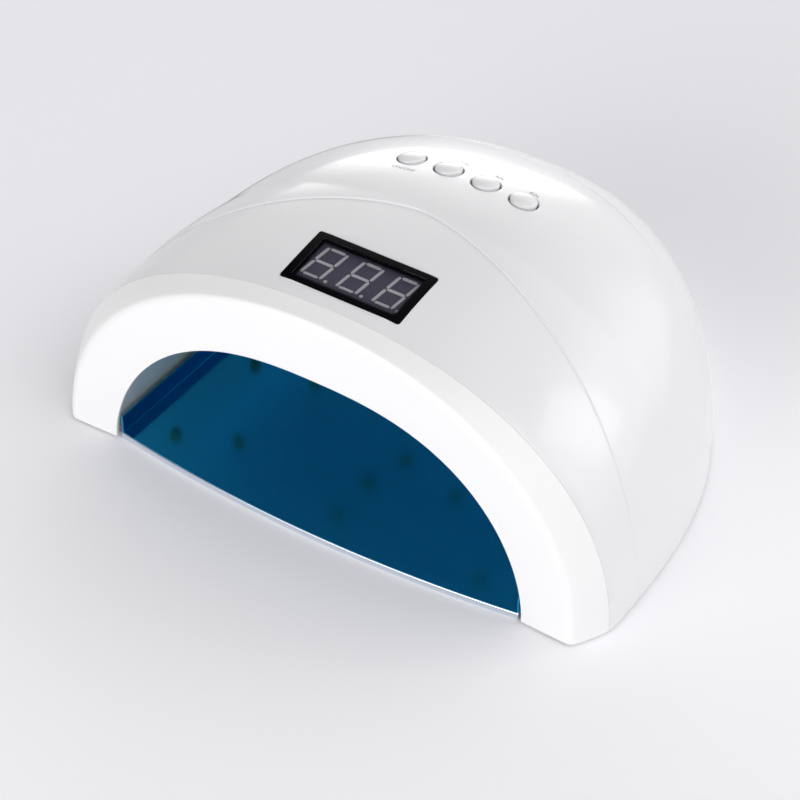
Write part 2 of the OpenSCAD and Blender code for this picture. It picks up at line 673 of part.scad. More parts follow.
// The flat ribbon between the two boards, with a plug at each end
module board_ribbon() {
    width = 12;
    plug = 2.4;
    under = display_board_z - circuit_t;
    color("gainsboro") rotate([90, 0, 90]) translate([0, 0, -width / 2]) linear_extrude(width)
        polygon([from_display(7, under), from_display(11, under), from_display(11, under - 0.8),
            from_key_board(-15, 1.6), from_key_board(-15, plug), from_key_board(-11, plug),
            from_key_board(-11, 0), from_key_board(-15, 0), from_key_board(-15, 0.8),
            from_display(11, under - 1.6), from_display(11, under - plug), from_display(7, under - plug)]);
}

module board_screws() {
    color("silver") {
        board_frame() for (p = key_posts) translate([p[0], p[1], -circuit_t]) mirror([0, 0, 1])
            pan_screw(0.9, 2, 1.1, circuit_t + 3);
        display_frame() for (p = display_posts) translate([p[0], p[1], display_board_z - circuit_t])
            mirror([0, 0, 1]) pan_screw(0.9, 2, 1.1, circuit_t + 3);
    }
}

// A cap: a domed top, a skirt through the housing, a retaining flange and a stem
module button_cap(x) {
    r = button_d / 2;
    rim_r = r - 0.5;
    proud = 0.8;
    crown_r = 24;
    seat = wall + 0.6;
    flange_t = 1.2;
    stem_r = 1.4;
    tip = 0.25;
    color("white") button_frame(x) rotate_extrude($fn = 48) polygon(concat(
        [[0, -stem_len(x)], [stem_r, -stem_len(x) + tip], [stem_r, -seat - flange_t],
         [r + 1, -seat - flange_t], [r + 1, -seat], [r, -seat], [r, proud - 0.6], [r - 0.15, proud - 0.2]],
        [for (i = [0:5]) let(q = rim_r * (1 - i / 5))
            [q, proud + sqrt(pow(crown_r, 2) - q * q) - sqrt(pow(crown_r, 2) - pow(rim_r, 2))]]));
}
module plunger(x) {
    color("black") board_frame() translate([switch_x(x), 0, switch_h - plunger_in])
        cylinder(r = 1.5, h = plunger_in + plunger_top, $fn = 24);
}
module button_on_off() { button_cap(button_x[0]); }
module button_10s() { button_cap(button_x[1]); }
module button_30s() { button_cap(button_x[2]); }
module button_60s() { button_cap(button_x[3]); }
module plunger_on_off() { plunger(button_x[0]); }
module plunger_10s() { plunger(button_x[1]); }
module plunger_30s() { plunger(button_x[2]); }
module plunger_60s() { plunger(button_x[3]); }

// The sensor that sees a hand come in, behind its round window
module sensor_window() {
    reach = liner_wall + 0.3;
    color("black") on_liner(sensor_s, 90) translate([0, 0, -reach])
        cylinder(r = sensor_r, h = reach + sensor_pad, $fn = 24);
}
module hand_sensor() {
    color("dimgray") on_liner(sensor_s, 90) translate([-3, -6, sensor_pad]) cube([6, 12, 5]);
}

// Barrel inlet in the rear pad
jack_half = 5.5;
jack_nose = 4;
jack_depth = 9.5;
module jack_axis(depth) {
    translate([0, y_of(lamp_d - depth), jack_z]) rotate([-90, 0, 0]) children();
}
module dc_jack() {
    color("black") difference() {
        union() {
            translate([-4.5, y_of(lamp_d - 13.6), jack_z - jack_half]) cube([9, 10.8, 2 * jack_half]);
            jack_axis(3) cylinder(r = jack_nose, h = 3, $fn = 48);
        }
        jack_axis(jack_depth) cylinder(r = jack_bore, h = jack_depth + 1, $fn = 48);
    }
}
module dc_jack_pin() {
    color("silver") jack_axis(jack_depth) cylinder(r = 1, h = 8.5, $fn = 32);
}

top_shell();
front_arch();
inner_reflector();
base_ring();
reflector_tray();
tray_film();
display_window();
display_module();
digit_segments();
display_board();
control_board();
board_ribbon();
driver_chip();
buzzer();
capacitors();
button_on_off();
button_10s();
button_30s();
button_60s();
plunger_on_off();
plunger_10s();
plunger_30s();
plunger_60s();
tact_switches();
led_board_left_crown();
led_board_right_crown();
led_board_rear_crown();
led_board_left();
led_board_right();
led_board_rear_left();
led_board_rear_right();
led_beads();
hand_sensor();
sensor_window();
dc_jack();
dc_jack_pin();
magnets();
rubber_feet();
base_screws();
board_screws();
led_screws();
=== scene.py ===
# %% [markdown]
# A nail lamp, dressed for a studio photograph.
# The working model already holds every piece of the lamp at its real size and place. This lesson
# loads it as a fixed frame and adds what the eye sees: moulded skins with soft edges, a smoked
# display window, printed labels, and a finish for every piece, inside and out.

import math

import bmesh
import bpy
from mathutils import Matrix, Vector


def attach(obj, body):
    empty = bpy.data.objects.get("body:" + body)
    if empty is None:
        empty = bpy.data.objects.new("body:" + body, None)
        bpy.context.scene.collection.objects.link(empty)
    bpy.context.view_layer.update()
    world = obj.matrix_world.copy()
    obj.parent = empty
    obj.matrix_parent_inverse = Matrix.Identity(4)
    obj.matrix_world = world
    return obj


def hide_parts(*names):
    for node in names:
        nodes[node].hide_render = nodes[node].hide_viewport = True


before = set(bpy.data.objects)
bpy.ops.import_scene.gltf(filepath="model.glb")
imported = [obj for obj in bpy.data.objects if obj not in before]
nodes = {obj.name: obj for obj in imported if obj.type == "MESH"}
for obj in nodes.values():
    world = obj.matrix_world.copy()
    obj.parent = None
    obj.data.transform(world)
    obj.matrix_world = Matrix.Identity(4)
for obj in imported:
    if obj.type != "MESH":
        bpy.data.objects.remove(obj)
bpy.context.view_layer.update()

# %% [markdown]
# The camera comes first, because everything else is judged through it. The lamp was photographed
# from the right of its front and well above it, with a long lens, so upright edges stay nearly
# parallel. The camera is placed on a sphere round a target point: an angle round the lamp, an
# angle above the table, and a distance.

# %% Camera
CAMERA_AROUND = math.radians(33.806)
CAMERA_ABOVE = math.radians(40.0)
CAMERA_DISTANCE = 0.98577
CAMERA_TARGET = Vector((0.009302, -0.04246, 0.032476))
FOCAL_PIXELS = 2917.9
IMAGE_PIXELS = 800
SENSOR_MM = 36.0
NEAREST = 0.01


def toward(around, above):
    """A direction of length 1; around turns from the front to the lamp's right."""
    flat = math.cos(above)
    return Vector((math.sin(around) * flat, -math.cos(around) * flat, math.sin(above)))


def from_target(around, above, distance):
    """A point on a sphere round the target."""
    return CAMERA_TARGET + toward(around, above) * distance


def aim(thing, point):
    """Turns a lamp or a camera so that it looks at a point."""
    thing.rotation_euler = (point - thing.location).to_track_quat("-Z", "Y").to_euler()


camera = bpy.data.objects.new("camera", bpy.data.cameras.new("camera"))
bpy.context.scene.collection.objects.link(camera)
camera.location = from_target(CAMERA_AROUND, CAMERA_ABOVE, CAMERA_DISTANCE)
aim(camera, CAMERA_TARGET)
camera.data.sensor_width = SENSOR_MM
camera.data.lens = SENSOR_MM * FOCAL_PIXELS / IMAGE_PIXELS
camera.data.clip_start = NEAREST
bpy.context.scene.camera = camera
print("camera at", [round(v, 3) for v in camera.location], "lens", round(camera.data.lens, 1), "mm")

# %% [markdown]
# The housing is one smooth form with two creases across it. It could be carved from a block, but a
# form like this is easiest to hold as a formula: at each place s behind the front face there is a
# half width, a crown height and a fullness, and an angle t runs over the arch from the right foot
# to the left one. The sizes are in millimetres and are those of the working model, but for the
# front crease, which is made a little stronger here so that it catches the light.

# %% Sizes of the housing, in millimetres
# the whole: depth, height and half width of the housing, the gap under it, and its wall
LAMP_D = 170.0
LAMP_H = 90.9
HALF_W = 110.0
FOOT_H = 0.8
WALL = 2.4
# the tray's front edge stands out by NOSE, and the frame's y is 0 at MID_S behind the face
NOSE = 5.0
MID_S = (LAMP_D - NOSE) / 2
# the front arch: half width and height of its face, lean and bow of the face, depth, height behind
FACE_A = 102.6
FACE_H = 84.5
FACE_LEAN = 0.057
FACE_BOW = 0.5
ARCH_D = 12.3
RIM_H = 85.6
# the opening for the hand: half width and height
OPENING_A = 83.2
OPENING_H = 61.2
# where the canopy is highest, where the front crease crosses the crown and the feet, and its bend
CREST_S = 56.0
CREASE_TOP = 67.4
CREASE_FOOT = 28.0
CREASE_BEND = 1.35
# where the rear crease crosses the crown, and how far its ends sweep forward
REAR_TOP = 132.0
REAR_SWEEP = 26.0
# the dome: where it starts, its height there, where its curves would close behind the pad, and how
# roundly its crown does so
DOME_S = 68.3
DOME_H = 90.5
DOME_REACH = 173.0
DOME_CLOSE = 2.35
# the plan: the widest place, how the front flares out to it, and how the back closes
WIDE_S = 15.0
FRONT_FLARE = 1.4
PLAN_FULL = 2.7
PLAN_CLOSE = 1.7
# fullness of the arches: 2 is an ellipse, and more is squarer
RIM_N = 2.22
DOME_N = 2.1
BACK_N = 2.6
# how much the section grows at each crease, in hundredths, and over what run
CREASE_STEP = 1.0
REAR_STEP = 0.5
STEP_RUN = 14.0
# where the row of buttons stands
BUTTON_S = 95.0


def y_of(s):
    """The frame's y for a place s behind the front face."""
    return s - MID_S


def limit(value):
    return min(max(value, 0.0), 1.0)


def half_at(s):
    if s < WIDE_S:
        return HALF_W - (HALF_W - FACE_A) * ((WIDE_S - s) / WIDE_S) ** FRONT_FLARE
    return HALF_W * (1 - limit((s - WIDE_S) / (DOME_REACH - WIDE_S)) ** PLAN_FULL) ** (1 / PLAN_CLOSE)


def crown_at(s):
    if s < DOME_S:
        return LAMP_H - (LAMP_H - RIM_H) * ((s - CREST_S) / (CREST_S - ARCH_D)) ** 2
    return DOME_H * (1 - limit((s - DOME_S) / (DOME_REACH - DOME_S)) ** 2) ** (1 / DOME_CLOSE)


def fullness_at(s):
    if s < DOME_S:
        return RIM_N + (DOME_N - RIM_N) * (s - ARCH_D) / (DOME_S - ARCH_D)
    return DOME_N + (BACK_N - DOME_N) * (s - DOME_S) / (DOME_REACH - DOME_S)


def crease_s(t):
    return CREASE_TOP - (CREASE_TOP - CREASE_FOOT) * abs(math.cos(t)) ** CREASE_BEND


def rear_s(t):
    return REAR_TOP - REAR_SWEEP * math.cos(t) ** 2


print("half width at the buttons, mm:", round(half_at(BUTTON_S), 1))

# %% [markdown]
# A crease that only bends would hardly show on white plastic. On the lamp each crease is a small
# riser, a little over half a millimetre high in front, that faces the viewer and catches the light
# as a thin bright line, and behind it the surface goes on swelling gently. Both parts are in the
# step, which is a formula too, so the crease can follow its curved line over the form.

# %% The step at a crease, and a point of the skin
RISER_RUN = 0.6
RISER_SHARE = 0.7


def step(s, start):
    """How far a crease's step has come up at s, from 0 to 1."""
    q = limit((s - start) / RISER_RUN)
    riser = q * q * (3 - 2 * q)
    swell = 1 - (1 - limit((s - start) / STEP_RUN)) ** 2
    return RISER_SHARE * riser + (1 - RISER_SHARE) * swell


def growth(s, t):
    """By how much both creases enlarge the section at s and t."""
    return 1 + math.sin(t) * (CREASE_STEP * step(s, crease_s(t)) + REAR_STEP * step(s, rear_s(t))) / 100


def lean(s, z, bow=0.0):
    """How far the front arch leans back at height z; the lean fades out to the arch's back."""
    return (FACE_LEAN * z - bow) * max(1 - s / ARCH_D, 0.0)


def arch_point(a, h, t, s, side, top, bow=0.0):
    """A point of an arch of half width a and crown height h, in millimetres. The two fullness
    values shape its sides and its top."""
    across = math.copysign(abs(math.cos(t)) ** (2 / side), math.cos(t))
    z = FOOT_H + (h - FOOT_H) * max(math.sin(t), 0.0) ** (2 / top)
    return Vector((a * across, y_of(s + lean(s, z, bow)), z))


def shell_point(s, t):
    n = fullness_at(s)
    return arch_point(half_at(s) * growth(s, t), crown_at(s) * growth(s, t), t, s, n, n)


print("crown at the buttons, mm:", round(shell_point(BUTTON_S, math.pi / 2).z, 2))

# %% [markdown]
# Four helpers serve every new piece. One turns a mesh in millimetres into a finished object in
# metres that rides on a body of the working model and stands for the plain solid there. One lays a
# net over a rule: a flat grid is made first, and each of its points is then moved to where the
# rule says, so the net keeps clean rows of four-sided faces. From a net come a closed bar, swept
# from a closed section, and a thin moulding, which is a net with a wall given inwards.

# %% Helpers for new pieces
MM = 0.001
SHARP = math.radians(32)
DOUBLES = 1e-3
MIDDLE = Vector((0, 0, 20))


def finish_piece(bm, name, slot, body, *replaced):
    """Makes the object, smooths its faces and leaves the edges sharper than SHARP crisp."""
    bmesh.ops.scale(bm, vec=(MM, MM, MM), verts=bm.verts)
    for face in bm.faces:
        face.smooth = True
    for edge in bm.edges:
        edge.smooth = edge.is_manifold and edge.calc_face_angle(0) < SHARP
    mesh = bpy.data.meshes.new(name)
    bm.to_mesh(mesh)
    bm.free()
    piece = bpy.data.objects.new(name, mesh)
    bpy.context.scene.collection.objects.link(piece)
    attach(piece, body)
    if replaced:
        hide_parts(*replaced)
    print(name, len(mesh.vertices), "points,", len(mesh.polygons), "faces")
    return piece


def outward(bm):
    bmesh.ops.recalc_face_normals(bm, faces=bm.faces)
    return bm


def net(across, along, rule):
    """A grid whose point (i, j) is moved to rule(i, j), for i up to across and j up to along."""
    bm = bmesh.new()
    bmesh.ops.create_grid(bm, x_segments=across, y_segments=along, size=0.5)
    for vert in bm.verts:
        i = round((vert.co.x + 0.5) * across)
        j = round((vert.co.y + 0.5) * along)
        vert.co = rule(i, j)
    bmesh.ops.remove_doubles(bm, verts=bm.verts, dist=DOUBLES)
    return bm


def swept(count, along, rule):
    """A bar with a closed section of count points and filled ends; rule(i, j) as for a net."""
    bm = net(count, along, lambda i, j: rule(i % count, j))
    bmesh.ops.holes_fill(bm, edges=[e for e in bm.edges if e.is_boundary], sides=0)
    return outward(bm)


def walled(bm, wall):
    """Points a net's faces away from the middle of the lamp and gives it a wall inwards."""
    outward(bm)
    bm.faces.ensure_lookup_table()
    first = bm.faces[0]
    if first.normal.dot(first.calc_center_median() - MIDDLE) < 0:
        bmesh.ops.reverse_faces(bm, faces=bm.faces)
    bmesh.ops.solidify(bm, geom=bm.faces, thickness=wall)
    return bm


def spread(start, stop, count):
    """Even places from start on, without stop itself."""
    return [start + (stop - start) * i / count for i in range(count)]


def slowing(start, stop, count):
    """Places from start to stop that draw closer together toward stop."""
    return [start + (stop - start) * math.sin(math.pi / 2 * i / count) for i in range(count + 1)]


# %% [markdown]
# Holes are cut with boolean tools. Each cutter is a plain closed solid, turned or extruded in its
# own frame and then moved to its place. A button's hole gets a rounded lip, as a moulding has,
# by flaring the cutter's upper end.

# %% Cutting helpers
def cutter(bm):
    """A hidden solid that cuts another one or is joined to it."""
    mesh = bpy.data.meshes.new("cutter")
    outward(bm).to_mesh(mesh)
    bm.free()
    return bpy.data.objects.new("cutter", mesh)


def cut(bm, cutters, operation="DIFFERENCE"):
    """Cuts the mesh with each cutter in turn, or joins them to it, and returns the new mesh."""
    mesh = bpy.data.meshes.new("blank")
    bm.to_mesh(mesh)
    bm.free()
    blank = bpy.data.objects.new("blank", mesh)
    bpy.context.scene.collection.objects.link(blank)
    for tool in cutters:
        bpy.context.scene.collection.objects.link(tool)
        modifier = blank.modifiers.new("cut", "BOOLEAN")
        modifier.operation = operation
        modifier.solver = "MANIFOLD"
        modifier.object = tool
    bpy.context.view_layer.update()
    done = blank.evaluated_get(bpy.context.evaluated_depsgraph_get())
    result = bmesh.new()
    result.from_mesh(done.data)
    for thing in [blank, *cutters]:
        bpy.data.objects.remove(thing)
    return result


def turned(profile, steps):
    """A solid turned round Z from a profile of (radius, height) points."""
    bm = bmesh.new()
    points = [bm.verts.new((r, 0, z)) for r, z in profile]
    edges = [bm.edges.new(pair) for pair in zip(points, points[1:])]
    bmesh.ops.spin(bm, geom=points + edges, cent=(0, 0, 0), axis=(0, 0, 1), angle=2 * math.pi,
                   steps=steps, use_merge=True, use_duplicate=False)
    bmesh.ops.remove_doubles(bm, verts=bm.verts, dist=1e-4)
    bmesh.ops.holes_fill(bm, edges=bm.edges, sides=0)
    return outward(bm)


def rod(radius, bottom, top):
    """The profile of a plain round rod, for turned()."""
    return [(0, bottom), (radius, bottom), (radius, top), (0, top)]


def slab(outline, height):
    """An outline of (x, y) points made a face and pulled up by height."""
    bm = bmesh.new()
    face = bm.faces.new([bm.verts.new((x, y, 0)) for x, y in outline])
    raised = bmesh.ops.extrude_face_region(bm, geom=[face])
    upper = [v for v in raised["geom"] if isinstance(v, bmesh.types.BMVert)]
    bmesh.ops.translate(bm, vec=(0, 0, height), verts=upper)
    return outward(bm)


def rounded(width, length, radius, steps=8):
    """The outline of a rectangle with round corners, centred on the origin."""
    points = []
    for corner, (sx, sy) in enumerate([(1, 1), (-1, 1), (-1, -1), (1, -1)]):
        for i in range(steps + 1):
            a = math.pi / 2 * (corner + i / steps)
            points.append((sx * (width / 2 - radius) + radius * math.cos(a),
                           sy * (length / 2 - radius) + radius * math.sin(a)))
    return points


def moved(bm, matrix):
    bmesh.ops.transform(bm, matrix=matrix, verts=bm.verts)
    return bm


# %% [markdown]
# The display and the buttons each stand in a frame of their own on the crown: the display's is
# tilted so that its window rises to the back, and a button's follows the slope of the dome in
# both directions. Every piece there is made flat, round its own origin, and then moved by that
# frame's matrix.

# %% Frames of the display and the buttons
WINDOW_W = 46.8
WINDOW_L = 23.9
WINDOW_R = 1.0
WINDOW_S = 29.7
WINDOW_T = 1.6
WINDOW_TILT = math.radians(7.7)
WINDOW_SINK = 1.25
BUTTON_D = 9.5
BUTTON_X = (-22.5, -7.5, 7.5, 22.5)
BUTTON_GAP = 0.65

DISPLAY_FRAME = (Matrix.Translation((0, y_of(WINDOW_S), crown_at(WINDOW_S)))
                 @ Matrix.Rotation(WINDOW_TILT, 4, "X") @ Matrix.Translation((0, 0, -WINDOW_SINK)))
BUTTON_SLOPE = math.atan((crown_at(BUTTON_S + 1) - crown_at(BUTTON_S - 1)) / 2)


def row_z(x):
    """Height of the housing at the button row for a distance x from the centre line."""
    n = fullness_at(BUTTON_S)
    flat = crown_at(BUTTON_S) * (1 - (abs(x) / half_at(BUTTON_S)) ** n) ** (1 / n)
    return flat * (1 + CREASE_STEP / 100)


def row_roll(x):
    """How far a button at x rolls to its side, so that it follows the arch."""
    return math.atan(row_z(x - 0.5) - row_z(x + 0.5))


def button_frame(x):
    return (Matrix.Translation((x, y_of(BUTTON_S), row_z(x)))
            @ Matrix.Rotation(BUTTON_SLOPE, 4, "X") @ Matrix.Rotation(row_roll(x), 4, "Y"))


print("the buttons slope back by", round(-math.degrees(BUTTON_SLOPE), 1), "degrees")

# %% [markdown]
# Now the skin of the housing. Its rows follow the creases, not straight lines across, so each
# crease lies exactly along a row and stays sharp; a dozen narrow rows carry each riser and its
# foot. The last rows close the flat pad at the back. The skin then gets its wall, and the cutters
# open the button holes, the pad and pocket of the window, and the hole of the power inlet.

# %% The rows of the skin
COLUMNS = 200
CANOPY_ROWS = 44
CREASE_ROWS = 12
DOME_ROWS = 56
BACK_ROWS = 40
BEFORE_CREASE = 0.3
BEHIND_CREASE = 1.2
PAD_SCALES = (0.985, 0.96, 0.85, 0.65, 0.4, 0.15, 0.0)


def row_places(t):
    """Every row's place behind the front face, at angle t."""
    front_start, front_end = crease_s(t) - BEFORE_CREASE, crease_s(t) + BEHIND_CREASE
    rear_start, rear_end = rear_s(t) - BEFORE_CREASE, rear_s(t) + BEHIND_CREASE
    return (spread(ARCH_D, front_start, CANOPY_ROWS) + spread(front_start, front_end, CREASE_ROWS)
            + spread(front_end, rear_start, DOME_ROWS) + spread(rear_start, rear_end, CREASE_ROWS)
            + slowing(rear_end, LAMP_D, BACK_ROWS))


columns = [row_places(math.pi * i / COLUMNS) for i in range(COLUMNS + 1)]
ROWS = len(columns[0])


def toward_foot(point, scale):
    """Draws a point of a rim in toward the middle of its foot, to close the form's back."""
    return Vector((point.x * scale, point.y, FOOT_H + (point.z - FOOT_H) * scale))


def skin_rule(i, j):
    t = math.pi * i / COLUMNS
    if j < ROWS:
        return shell_point(columns[i][j], t)
    return toward_foot(shell_point(LAMP_D, t), PAD_SCALES[j - ROWS])


shell = walled(net(COLUMNS, ROWS - 1 + len(PAD_SCALES), skin_rule), WALL)
print("skin:", ROWS, "rows and", COLUMNS, "columns")

# %% The cutters of the button holes
LIP_ROUND = 0.4
LIP_SINK = 0.04
LIP_STEPS = 6
LIP_OUT = 1.5
hole_r = BUTTON_D / 2 + BUTTON_GAP
lip = [(0, -9), (hole_r, -9)]
for k in range(LIP_STEPS + 1):
    turn = math.pi / 2 * k / LIP_STEPS
    lip.append((hole_r + LIP_ROUND * (1 - math.cos(turn)), LIP_ROUND * (math.sin(turn) - 1) - LIP_SINK))
lip += [(BUTTON_D / 2 + LIP_OUT, 0.5), (BUTTON_D / 2 + LIP_OUT, 4), (0, 4)]
button_cutters = [cutter(moved(turned(lip, 64), button_frame(x))) for x in BUTTON_X]
print("button holes, mm:", 2 * hole_r)

# %% The cutters of the window and the inlet, and the finished skin
BORDER = 1.2
PAD_BEHIND = 0.8
RAMP = 5.0
RAMP_RISE = 2.6
PANE_PLAY = 0.3
POCKET_H = 6.0
WELL_W = 42.2
WELL_L = 19.6
WELL_R = 1.0
WELL_H = 8.0
WELL_SINK = 7.0
MODULE_Y = 0.9
JACK_Z = 11.0
JACK_R = 4.3
JACK_MOUTH = 4.9
JACK_DEPTH = 10.0
JACK_PAST = 4.0
ramp_foot = WINDOW_L / 2 + PAD_BEHIND
pad_front = -WINDOW_L / 2 - BORDER
side_view = [(pad_front, 0), (ramp_foot, 0), (ramp_foot + RAMP, RAMP_RISE), (pad_front, RAMP_RISE)]
lie_down = (Matrix.Translation((-WINDOW_W / 2 - BORDER, 0, 0))
            @ Matrix.Rotation(math.pi / 2, 4, "Z") @ Matrix.Rotation(math.pi / 2, 4, "X"))
pad = moved(slab(side_view, WINDOW_W + 2 * BORDER), DISPLAY_FRAME @ lie_down)
pocket = slab(rounded(WINDOW_W + PANE_PLAY, WINDOW_L + PANE_PLAY, WINDOW_R + PANE_PLAY / 2), POCKET_H)
moved(pocket, DISPLAY_FRAME @ Matrix.Translation((0, 0, -WINDOW_T)))
well = slab(rounded(WELL_W, WELL_L, WELL_R), WELL_H)
moved(well, DISPLAY_FRAME @ Matrix.Translation((0, MODULE_Y, -WELL_SINK)))
bore = [(0, 0), (JACK_R, 0), (JACK_R, JACK_DEPTH - 0.4), (JACK_MOUTH, JACK_DEPTH + 0.2)]
bore += [(JACK_MOUTH, JACK_DEPTH + JACK_PAST), (0, JACK_DEPTH + JACK_PAST)]
inlet_place = Matrix.Translation((0, y_of(LAMP_D) - JACK_DEPTH, JACK_Z))
inlet = moved(turned(bore, 48), inlet_place @ Matrix.Rotation(-math.pi / 2, 4, "X"))

shell = cut(shell, [*button_cutters, cutter(pad), cutter(pocket), cutter(well), cutter(inlet)])
top_shell = finish_piece(shell, "shell_skin", "shell_white", "housing", "top_shell")

# %% [markdown]
# Each button is a turned cap: a softly domed top, a skirt through the housing, a flange that keeps
# it from coming out, and a stem that reaches down to its switch. The stem's length follows from
# the heights of the housing and the key board, as in the working model. A stack of cylinders would
# give the same parts, but one profile with one full turn gives all the rounds and edges at once.

# %% The buttons
BOARD_DROP = 13.5
SWITCH_H = 3.5
PLUNGER_TOP = 0.6
CAP_TOP = 1.75
CAP_WALL = 0.35
CAP_STEPS = 24
CAP_SEAT = WALL + 0.6
STEM_R = 1.4
STEM_TIP = 0.25
FLANGE_T = 1.2
FLANGE_OUT = 1.0
EASE = 0.15


def stem_len(x):
    drop = BOARD_DROP - SWITCH_H - PLUNGER_TOP - (row_z(0) - row_z(x)) * math.cos(BUTTON_SLOPE)
    return drop / math.cos(row_roll(x))


def cap_profile(x):
    r = BUTTON_D / 2
    rim = r + FLANGE_OUT
    stem = stem_len(x)
    under = CAP_SEAT + FLANGE_T
    profile = [(0, -stem), (STEM_R - STEM_TIP, -stem), (STEM_R, -stem + STEM_TIP)]
    profile += [(STEM_R, -under - EASE), (STEM_R + EASE, -under)]
    profile += [(rim - EASE, -under), (rim, -under + EASE), (rim, -CAP_SEAT), (r, -CAP_SEAT), (r, CAP_WALL)]
    for k in range(1, CAP_STEPS + 1):
        turn = math.pi / 2 * k / CAP_STEPS
        profile.append((r * math.cos(turn), CAP_WALL + (CAP_TOP - CAP_WALL) * math.sin(turn)))
    return profile


caps = []
for name, x in zip(("on_off", "10s", "30s", "60s"), BUTTON_X):
    cap = moved(turned(cap_profile(x), 72), button_frame(x))
    caps.append(finish_piece(cap, "cap_" + name, "button_white", "key_" + name, "button_" + name))

# %% [markdown]
# The labels beside the buttons are printed on the housing. A picture of the words would blur in a
# close view, so each is set as text, turned into a mesh, given the thickness of a print and laid
# on the curved skin point by point.

# %% The labels
PRINT_T = 0.03
PRINT_LIFT = 0.004


def skin_z(x, s):
    """Height of the skin over a place of the table, in millimetres."""
    n = fullness_at(s)
    grown = 1.0
    for _ in range(4):
        share = limit(abs(x) / (half_at(s) * grown))
        t = math.acos(math.copysign(share ** (n / 2), x))
        grown = growth(s, t)
    return FOOT_H + (crown_at(s) * grown - FOOT_H) * (1 - share ** n) ** (1 / n)


def label(name, words, size, x, s):
    text = bpy.data.curves.new(name, "FONT")
    text.body = words
    text.size = size
    text.align_x = "CENTER"
    text.align_y = "CENTER"
    text.resolution_u = 4
    holder = bpy.data.objects.new(name, text)
    bpy.context.scene.collection.objects.link(holder)
    flat = bpy.data.meshes.new_from_object(holder.evaluated_get(bpy.context.evaluated_depsgraph_get()))
    bpy.data.objects.remove(holder)
    bm = bmesh.new()
    bm.from_mesh(flat)
    bmesh.ops.remove_doubles(bm, verts=bm.verts, dist=1e-4)
    raised = bmesh.ops.extrude_face_region(bm, geom=bm.faces[:])
    top = {v for v in raised["geom"] if isinstance(v, bmesh.types.BMVert)}
    for vert in bm.verts:
        across, back = x + vert.co.x, s + vert.co.y
        vert.co = (across, y_of(back), skin_z(across, back) + (PRINT_T if vert in top else PRINT_LIFT))
    return finish_piece(outward(bm), name, None, "housing")


labels = [
    label("label_on_off", "ON/OFF", 2.5, -20.6, 86.5),
    label("label_10s", "10s", 2.7, -6.0, 102.8),
    label("label_30s", "30s", 2.7, 8.2, 102.4),
    label("label_60s", "60s", 2.7, 22.4, 102.1),
]

# %% [markdown]
# The front arch is a channel, closed in front and open behind, swept over the opening. Its
# section is a closed loop of points, and each point is a mix of two arches: the outer edge of the
# face and the edge of the opening. Quarter ellipses round the two edges that the hand meets.

# %% The section of the front arch
OPENING_N = 2.59
OPENING_M = 1.83
FACE_N = 2.07
LIP_S = 1.2
ROUND_OUT = 2.0
ROUND_BACK = 1.6
HAND_ROUND = 0.35


def quarter(centre, reach, start, steps=8):
    """A quarter ellipse in the plane of (out, s), from the angle start on."""
    angles = [start + math.pi / 2 * i / steps for i in range(steps + 1)]
    return [(centre[0] + reach[0] * math.cos(a), centre[1] + reach[1] * math.sin(a)) for a in angles]


def arch_section():
    """The closed section as (mix, out, s): mix 1 is the outer edge and 0 the opening."""
    shoulder = quarter((-ROUND_OUT, ROUND_BACK), (ROUND_OUT, ROUND_BACK), -math.pi / 2)
    outer = [(1, out, s) for out, s in shoulder]
    rim = [(1, 0, s) for s in (3, 5, 8, 10.5, ARCH_D - 0.1)] + [(1, -0.1, ARCH_D)]
    tongue = [(1, -3, ARCH_D), (1, -3, ARCH_D + 3.5), (1, -4.8, ARCH_D + 3.5), (1, -4.8, ARCH_D - 2)]
    channel = [(1, -4.2, 3.6), (0, 5, 4.2)]
    inside = [(0, 5, ARCH_D), (0, 3.2, ARCH_D), (0, 3.2, LIP_S), (0, 0, LIP_S)]
    edge = [(0, out, s) for out, s in quarter((HAND_ROUND, HAND_ROUND), (-HAND_ROUND, -HAND_ROUND), 0)]
    face = [(m, HAND_ROUND * (1 - m) - ROUND_OUT * m, 0) for m in (0.2, 0.4, 0.6, 0.8)]
    return outer + rim + tongue + channel + inside + edge + face


def ring_point(mix, out, s, t):
    f = min(s / ARCH_D, 1)
    a = mix * half_at(min(s, ARCH_D)) + (1 - mix) * OPENING_A + out
    h = mix * (FACE_H + (RIM_H - FACE_H) * f) + (1 - mix) * OPENING_H + out
    outer_n = FACE_N + (RIM_N - FACE_N) * f
    side = mix * outer_n + (1 - mix) * OPENING_N
    top = mix * outer_n + (1 - mix) * OPENING_M
    return arch_point(a, h, t, s, side, top, mix * FACE_BOW)


section = arch_section()
print("arch section:", len(section), "points")

# %% The front arch
ARCH_STEPS = 220


def arch_rule(i, j):
    mix, out, s = section[i]
    return ring_point(mix, out, s, math.pi * j / ARCH_STEPS)


arch = swept(len(section), ARCH_STEPS, arch_rule)
front_arch = finish_piece(arch, "arch_moulding", "arch_white", "housing", "front_arch")

# %% [markdown]
# The lining of the hand cavity is a thin metallised moulding. It is the same kind of net as the
# housing: arches that shrink towards the back, a wall given inwards, and round holes for the
# LED lenses and the hand sensor.

# %% The lining's form
LINER_A = OPENING_A + 2.8
LINER_H = OPENING_H + 2.8
LINER_WALL = 1.8
LINER_END = 153.5
LINER_REACH = 157.0
LINER_PLAN = 2.4
LINER_CROWN = 2.6
LINER_CLOSE = 2.2
LINER_SQUARER = 0.2
STRAIGHT_S = 55.0
LEVEL_S = 40.0
LINER_COLUMNS = 120
LINER_CAPS = (0.97, 0.8, 0.5, 0.2, 0.0)
liner_places = (spread(LIP_S, ARCH_D, 4) + spread(ARCH_D, STRAIGHT_S, 14)
                + slowing(STRAIGHT_S, LINER_END, 36))


